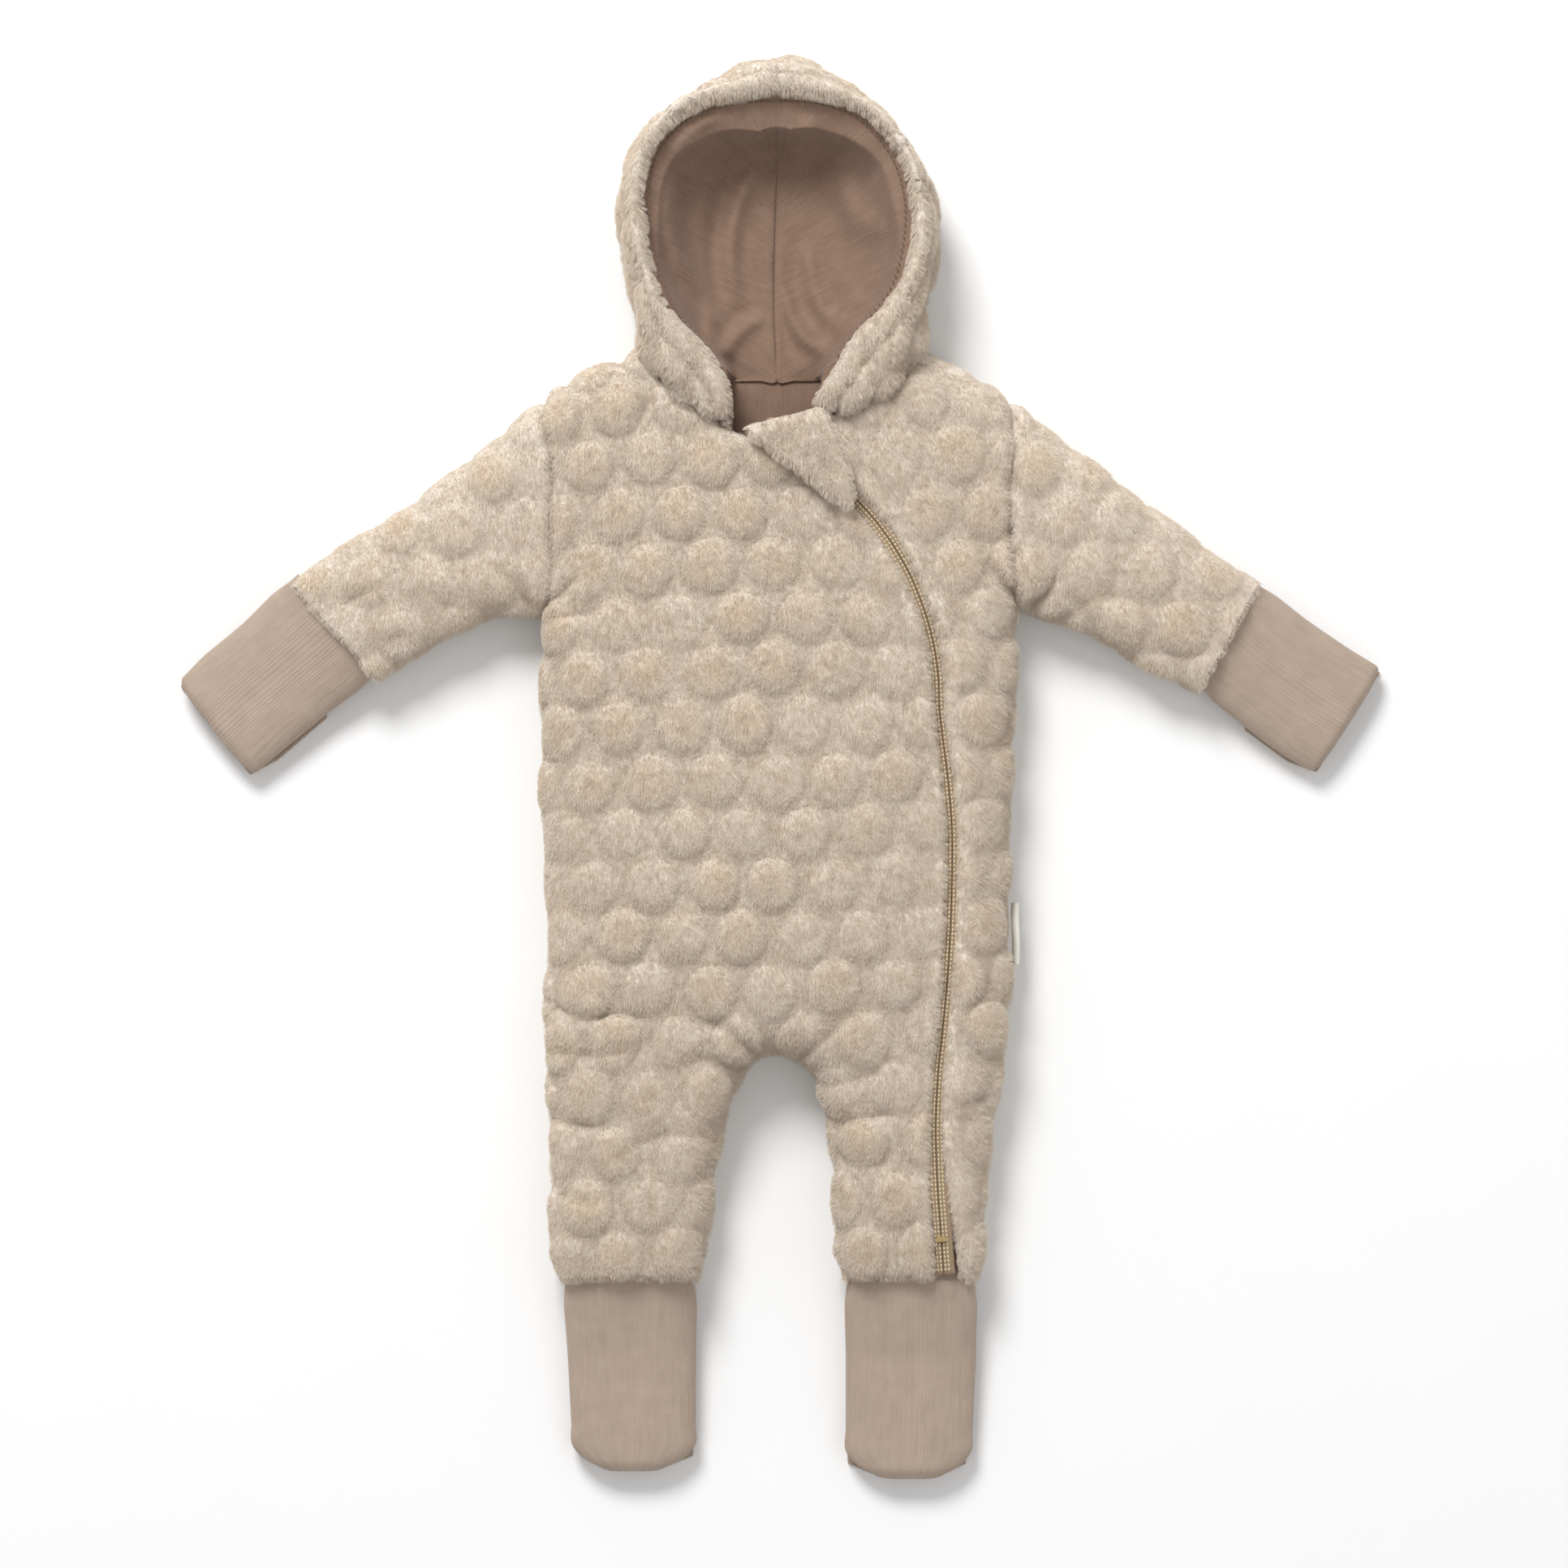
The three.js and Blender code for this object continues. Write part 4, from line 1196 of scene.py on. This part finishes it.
def make_hood_lining(rim, ends):
    """The jersey bowl inside the hood, from under the rim down to the seam behind."""
    rows = HOOD_LINING_ROWS
    points, uv, seam_level = [], [], []
    along = lengths(rim)
    t = np.linspace(0, 1, rows)
    for k in range(HOOD_COLUMNS):
        crown = bell((k / (HOOD_COLUMNS - 1) - 0.5) * 2, 0.34)
        start = rim[k] - np.array([0, 0, LIP_DROP - 1.0])
        away = ends[k] - start
        reach = np.linalg.norm(away[:2])
        out = -away[:2] / max(reach, 1)
        bulge = 5.0 * np.sin(math.pi * np.minimum(t * 2.2, 1)) * (1 - crown)
        plan = start[:2] + np.outer(t, away[:2]) + np.outer(1.5 * (1 - t) ** 8 + bulge, out)
        # A facing lies flat inside the rim, and the lining drops away from its edge
        facing = min((8.0 + 12.0 * crown + 1.5 * noise(along[k], 0, 24, 63)) / reach, 0.5)
        rest = np.clip((t - facing) / (1 - facing), 0, 1)
        level = ends[k, 2] + (start[2] - ends[k, 2]) * np.where(
            t < facing, 1 - 0.12 * t / facing, 0.88 * (1 - rest) ** 3.6)
        points.append(np.column_stack([plan, level]))
        seam_level.append(np.interp(STITCH_INSET / reach, t, level))
        uv.append(np.column_stack([np.full(rows, along[k]), t * np.linalg.norm(away)]))
    points, uv = np.concatenate(points), np.concatenate(uv)
    share = np.tile(t, HOOD_COLUMNS)
    x, y = points[:, 0], points[:, 1]
    # Folds and soft waves, none of them at the rim or at the seam behind
    fade = smoothstep(share, 0.04, 0.25) * (1 - smoothstep(share, 0.9, 1.0))
    lift = np.zeros(len(points))
    for *line, height, width in LINING_FOLDS:
        at, off = beside(x, y, line, 0.1)
        ends_fade = smoothstep(at, -0.15, 0.25) * (1 - smoothstep(at, 0.7, 1.1))
        lift += 1.5 * height * ends_fade * (bell(off, width) - 0.4 * bell(off - 1.8 * width, width))
    lift += 1.0 * noise(x, y, 30, 61) + 0.5 * noise(x, y, 13, 62)
    points[:, 2] += lift * fade
    points[:, 2] -= 0.9 * bell(share - 1.0, 0.02) * (points[:, 1] > NECK_SEAM_Y + 2)
    faces = grid_faces(HOOD_COLUMNS, rows)[:, ::-1]
    made = {}
    column = np.repeat(np.arange(HOOD_COLUMNS), rows)
    normals = vertex_normals(points, faces)
    for side, own in zip(("right", "left"), hood_halves(column, faces)):
        _, local, used = compact(points, faces[own])
        shape = shell(points[used], local, normals[used], 0, LINING_SHELL)
        name = "hood_inside_" + side
        made[name] = finish_jersey(name, shape, "hood_lining_" + side, uv[used] / MM)
    outward_way = rim[:, :2] - ends[:, :2]
    outward_way /= np.linalg.norm(outward_way, axis=1, keepdims=True)
    inner = slice(30, HOOD_COLUMNS - 30)
    stitches = beads(rim[inner, :2], outward_way[inner], np.array(seam_level)[inner] + 0.2,
                     -STITCH_INSET, 3.2, 2.2, 0.7, 0.7)
    made["hood_topstitch"] = make("hood_topstitch", *stitches, SEAM_THREAD, slot="lining_jersey")
    outward(made["hood_topstitch"])
    return made


# ---------------------------------------------------------------- cuffs, flaps and guard

CUFF_RINGS = 90
CUFF_AROUND = 120
CUFF_GIRTH = 141.9
CUFF_REST = 2.3


def cuff_stations(node, direction, count):
    """A cuff's two side edges and its top, read from the CAD at even steps towards its far end."""
    plan, tree = Plan(node), cad_tree(node)
    flat = cad_points(node)[0][:, :2]
    d = np.array(direction, float)
    d /= np.linalg.norm(d)
    side = np.array([-d[1], d[0]])
    ends = []
    for way in (-d, d):
        one = flat[(flat @ (way + 0.8 * side)).argmax()]
        other = flat[(flat @ (way - 0.8 * side)).argmax()]
        across = (one - other) / np.linalg.norm(one - other)
        out = np.array([across[1], -across[0]])
        out *= np.sign(out @ way)
        middle = (one + other) / 2
        middle = middle + out * ((flat @ out).max() - middle @ out - 0.3)
        ends.append((middle, across))
    found = []
    for f in np.linspace(0, 1, count):
        p = ends[0][0] + (ends[1][0] - ends[0][0]) * f
        across = ends[0][1] + (ends[1][1] - ends[0][1]) * f
        a, b = plan.reach(p, across), plan.reach(p, -across)
        hit = tree.ray_cast(Vector((*(a + b) / 2, 200)), Vector((0, 0, -1)))[0]
        found.append((*a, *b, hit.z if hit else 18))
    found[0] = (*found[0][:4], found[1][4] * 1.1)
    return np.array(found), np.linalg.norm(ends[1][0] - ends[0][0])


def make_cuff(name, node, body, direction, seed):
    """A doubled jersey cuff: a flattened tube with a folded far end."""
    stations, span = cuff_stations(node, direction, 9)
    rows = curve_through(stations, CUFF_RINGS)
    # It runs on a little under the plush hem
    tuck = rows[0] + (rows[0] - rows[8]) * np.linspace(1, 0.1, 5)[:, None]
    tuck[:, 4] = rows[0][4] - np.linspace(2.5, 0.5, 5)
    rows = np.concatenate([tuck, rows])
    around = CUFF_AROUND
    angle = np.linspace(0, 2 * math.pi, around, endpoint=False)
    outer = []
    for k, (ax, ay, bx, by, top) in enumerate(rows):
        f = k / (len(rows) - 1)
        a, b = np.array([ax, ay]), np.array([bx, by])
        middle, half = (a + b) / 2, np.linalg.norm(a - b) / 2
        across = (a - b) / (2 * half)
        # It starts a little narrower and higher, inside the hem, and its folded end closes in
        half *= 1 - 0.06 * (1 - smoothstep(f, 0.02, 0.2))
        low = CUFF_REST + 5.5 * (1 - smoothstep(f, 0.05, 0.16))
        level = low + (top - low) * 0.45
        c, s = np.cos(angle), np.sin(angle)
        out = half * np.sign(c) * np.abs(c) ** 0.78
        z = np.where(s >= 0, level + (top - level) * np.abs(s) ** 0.7,
                     level - (level - low) * np.abs(s) ** 0.55)
        wave = 0.5 * noise(out, f * span + 0 * out, 26, seed) * (s > 0.2)
        end = smoothstep(f, 0.9, 1.0)
        z = level + (z - level) * (1 - 0.4 * end**3) + wave * (1 - end)
        corner = 2.2 * end**2 * np.clip(np.abs(out) / half, 0, 1) ** 5
        back_off = np.outer(corner, (rows[5][:2] + rows[5][2:4] - a - b) / 2 / span)
        plan = middle + np.outer(out * (1 - 0.03 * end**3), across) + back_off
        outer.append(np.column_stack([plan, z]))
    points = np.concatenate(outer)
    rings = len(rows)
    i, j = np.meshgrid(np.arange(rings - 1), np.arange(around), indexing="ij")
    p, q = (i * around + j).ravel(), (i * around + (j + 1) % around).ravel()
    faces = np.stack([p, p + around, q + around, q], 1)
    normals = vertex_normals(points, faces)
    if normals[around // 4 + around, 2] < 0:
        faces, normals = faces[:, ::-1], -normals
    points, faces, _ = shell(points, faces, normals, 0, CUFF_SHELL)
    stretch = np.repeat(np.linspace(0, span, rings), around)
    girth = np.tile(np.cumsum(np.full(around, CUFF_GIRTH / around)), rings)
    piece = make(name, points, faces, CUFF_JERSEY, body, "cuff_jersey", (node,))
    set_uv(piece, np.tile(np.column_stack([girth, stretch]) / MM, (2, 1)))


def wear(piece, look):
    """Gives a piece one material in place of any that it has."""
    piece.data.materials.clear()
    piece.data.materials.append(look)


def soft_copy(name, node, body, look, voxel, rounds, seed, swell, ripple, shrink=0.0):
    """A CAD node's shape with soft edges: remeshed, rounded off and a little uneven."""
    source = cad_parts[node]
    piece = bpy.data.objects.new(name, source.data.copy())
    bpy.context.scene.collection.objects.link(piece)
    wear(piece, look)
    remesh = piece.modifiers.new("remesh", "REMESH")
    remesh.mode = "VOXEL"
    remesh.voxel_size = voxel / MM
    soften = piece.modifiers.new("soften", "SMOOTH")
    soften.iterations = rounds
    soften.factor = 0.5
    graph = bpy.context.evaluated_depsgraph_get()
    mesh = bpy.data.meshes.new_from_object(piece.evaluated_get(graph))
    piece.modifiers.clear()
    piece.data = mesh
    count = len(mesh.vertices)
    co, no = np.zeros(count * 3), np.zeros(count * 3)
    mesh.vertices.foreach_get("co", co)
    mesh.vertices.foreach_get("normal", no)
    co, no = co.reshape(-1, 3) * MM, no.reshape(-1, 3)
    co += no * (swell + ripple * noise(co[:, 0], co[:, 1], 6, seed))[:, None]
    middle = (co[:, :2].min(0) + co[:, :2].max(0)) / 2
    co[:, :2] = middle + (co[:, :2] - middle) * (1 - shrink)
    mesh.vertices.foreach_set("co", (co / MM).astype(np.float32).ravel())
    mesh.polygons.foreach_set("use_smooth", [True] * len(mesh.polygons))
    mesh.update()
    set_uv(piece, co[:, :2] / MM)
    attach(piece, body)
    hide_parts(node)
    return piece, co, no


def make_flaps():
    """The turn-over flaps behind the cuffs."""
    seed = 71
    for kind, cuff, share in (("mitten", "hand", 0.57), ("bootie", "foot", 0.95)):
        for side in ("right", "left"):
            node = f"{kind}_flap_{side}"
            piece, _, _ = soft_copy("turn_" + node, node, f"{side}_{kind}", CUFF_JERSEY,
                                    0.6, 12, seed, 0.1, 0.06, 0.045)
            seed += 1


def make_guard():
    """The plush triangle over the top of the zip, and its jersey underside."""
    piece, co, no = soft_copy("chin_guard_plush", "chin_guard", "guard", PLUSH,
                              0.8, 6, 81, 0.5, 0.5)
    x, y = co[:, 0], co[:, 1]
    lift = 1.2 * noise(x, y, 11, 82) + 0.5 * noise(x, y, 4, 83)
    co[:, 2] += np.where(no[:, 2] > 0.2, lift, 0)
    piece.data.vertices.foreach_set("co", (co / MM).astype(np.float32).ravel())
    piece.data.update()
    ready_for_pile(piece, 0.1 + 0 * x, no[:, 2] > -0.3)
    soft_copy("chin_guard_inside", "chin_guard_lining", "guard", LINING_JERSEY,
              0.5, 2, 84, 0, 0.05)
    return piece


# ---------------------------------------------------------------- zip and label

def zip_levels():
    """The zip's middle in plan, with the level of the tapes under it, and the way across."""
    line = BODY.zip
    points = line.points[::4]
    left = line.left[::4]
    under = np.array([neck_y(x) for x in points[:, 0]]) - 5
    keep = (points[:, 1] < under) & (points[:, 1] > HEM_Y + 0.5)
    points, left = points[keep], left[keep]
    level = np.array([BODY.height(x, y) for x, y in points])
    return points, left, level - 4.2


def strip(points, left, level, near, far, thickness, crown):
    """A flat strip beside a line: points and faces of a closed bar."""
    steps = 6
    across = np.linspace(near, far, steps)
    bow = crown * (1 - ((across - near) / (far - near) * 2 - 1) ** 2)
    rows = []
    for k in range(len(points)):
        plan = points[k] + np.outer(across, left[k])
        top = np.column_stack([plan, level[k] + bow])
        low = np.column_stack([plan, level[k] + bow - thickness])
        rows.append(np.concatenate([top, low[::-1]]))
    return np.concatenate(rows), tube_faces(len(points), 2 * steps)


def beads(points, left, level, offset, pitch, length, width, height):
    """A row of small rounded bars along a line: stitches, or a coil's turns."""
    s = lengths(points)
    at = np.arange(pitch, s[-1] - pitch, pitch)
    x, y, z = (np.interp(at, s, v) for v in (points[:, 0], points[:, 1], level))
    lx, ly = np.interp(at, s, left[:, 0]), np.interp(at, s, left[:, 1])
    rings, around = ((-0.5, 0.45), (-0.3, 1.0), (0.3, 1.0), (0.5, 0.45)), 6
    pts, faces = [], []
    for k in range(len(at)):
        size = math.hypot(lx[k], ly[k])
        side = np.array([lx[k], ly[k], 0]) / size
        along = np.array([side[1], -side[0], 0])
        middle = np.array([x[k], y[k], z[k]]) + side * offset
        faces += tube_faces(len(rings), around, len(pts))
        for f, r in rings:
            for m in range(around):
                a = 2 * math.pi * m / around
                pts.append(middle + along * f * length + side * math.cos(a) * width * r / 2
                           + np.array([0, 0, math.sin(a) * height * r / 2]))
    return pts, faces


def make_zip():
    """The tapes, their stitches and the coils; the metal parts keep their CAD shape."""
    points, left, level = zip_levels()
    for side, sign in (("right", -1), ("left", 1)):
        tape = strip(points, left, level, sign * 0.12, sign * 5.6, 0.6, 0.25)
        outward(make("tape_" + side, *tape, TAPE, "garment", "zip_tape", ("zip_tape_" + side,)))
        for row, offset in (("inner", 1.0), ("outer", 2.7)):
            row_of = beads(points, left, level + 0.35, sign * offset, 2.1, 1.6, 0.85, 0.7)
            outward(make(f"stitches_{row}_{side}", *row_of, THREAD, "garment", "zip_tape"))
        coil = beads(points, left, level - 1.35, sign * 0.75, 1.25, 0.8, 1.5, 1.2)
        outward(make("coil_" + side, *coil, COIL, "garment", "zip_coil", ("zip_coil_" + side,)))
    for node in ("zip_slider", "zip_pull", "zip_top_stop_right", "zip_top_stop_left", "zip_bottom_stop"):
        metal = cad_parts[node]
        wear(metal, BRASS)
        bevel = metal.modifiers.new("edges", "BEVEL")
        bevel.width = 0.00018
        bevel.segments = 2
        bevel.limit_method = "ANGLE"


def make_label():
    """A folded ribbon: two layers and the fold between them, standing out of the side seam."""
    low, high = (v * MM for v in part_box("side_label"))
    radius = (high.z - low.z) / 2 - 0.1
    middle = (high.z + low.z) / 2
    thickness = 0.35
    turn = np.linspace(math.pi / 2, -math.pi / 2, 9)
    end = high.x - radius - 0.1
    fold = [(end + radius * math.cos(a), middle + radius * math.sin(a)) for a in turn]
    line = np.array([(low.x, middle + radius), *fold, (low.x, middle - radius)])
    way_in = np.array([end - 2, middle]) - line
    inner = line + way_in / np.linalg.norm(way_in, axis=1, keepdims=True) * thickness
    ring = np.concatenate([line, inner[::-1]])
    pts = [(x + 0.25 * math.sin(y / 5.0), y, z + 0.3 * math.sin(y / 7.0))
           for y in np.linspace(low.y, high.y, 40) for x, z in ring]
    faces = tube_faces(40, len(ring))
    outward(make("ribbon_label", pts, faces, RIBBON, "label", "label_ribbon", ("side_label",)))


OUTLINE = body_outline()
BODY = Body()
stage()
parts = make_body()
parts.update(make_hood())
for name in ("front_right", "front_left", "back", "front_lining_right", "front_lining_left", "back_lining"):
    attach(parts[name], "garment")
for side, x, hand in (("right", -1, "right_sleeve"), ("left", 1, "left_sleeve")):
    for name in ("sleeve_plush_" + side, "sleeve_lining_" + side):
        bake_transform(parts[name])
for name in ("hood_right", "hood_left", "hood_inside_right", "hood_inside_left", "hood_topstitch"):
    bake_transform(parts[name])

for side, word in enumerate(("right", "left")):
    root, wrist = arm(side)
    make_cuff("hand_cuff_knit_" + word, HAND_CUFFS[side], word + "_sleeve", wrist - root, 91 + side)
for side, word in enumerate(("right", "left")):
    make_cuff("foot_cuff_knit_" + word, FOOT_CUFFS[side], "garment", (0, -1), 93 + side)
make_flaps()
parts["guard"] = make_guard()
make_zip()
make_label()

# The pile: strands for each square millimetre, and their length
PILES = (
    ("front_right", 4.0, 2.0), ("front_left", 4.0, 2.0), ("back", 1.5, 2.0),
    ("sleeve_plush_right", 3.2, 2.0), ("sleeve_plush_left", 3.2, 2.0),
    ("hood_right", 3.2, 2.7), ("hood_left", 3.2, 2.7), ("guard", 4.0, 2.9),
)
for seed, (name, density, length) in enumerate(PILES, 1):
    grow_pile(parts[name], density, seed, length)
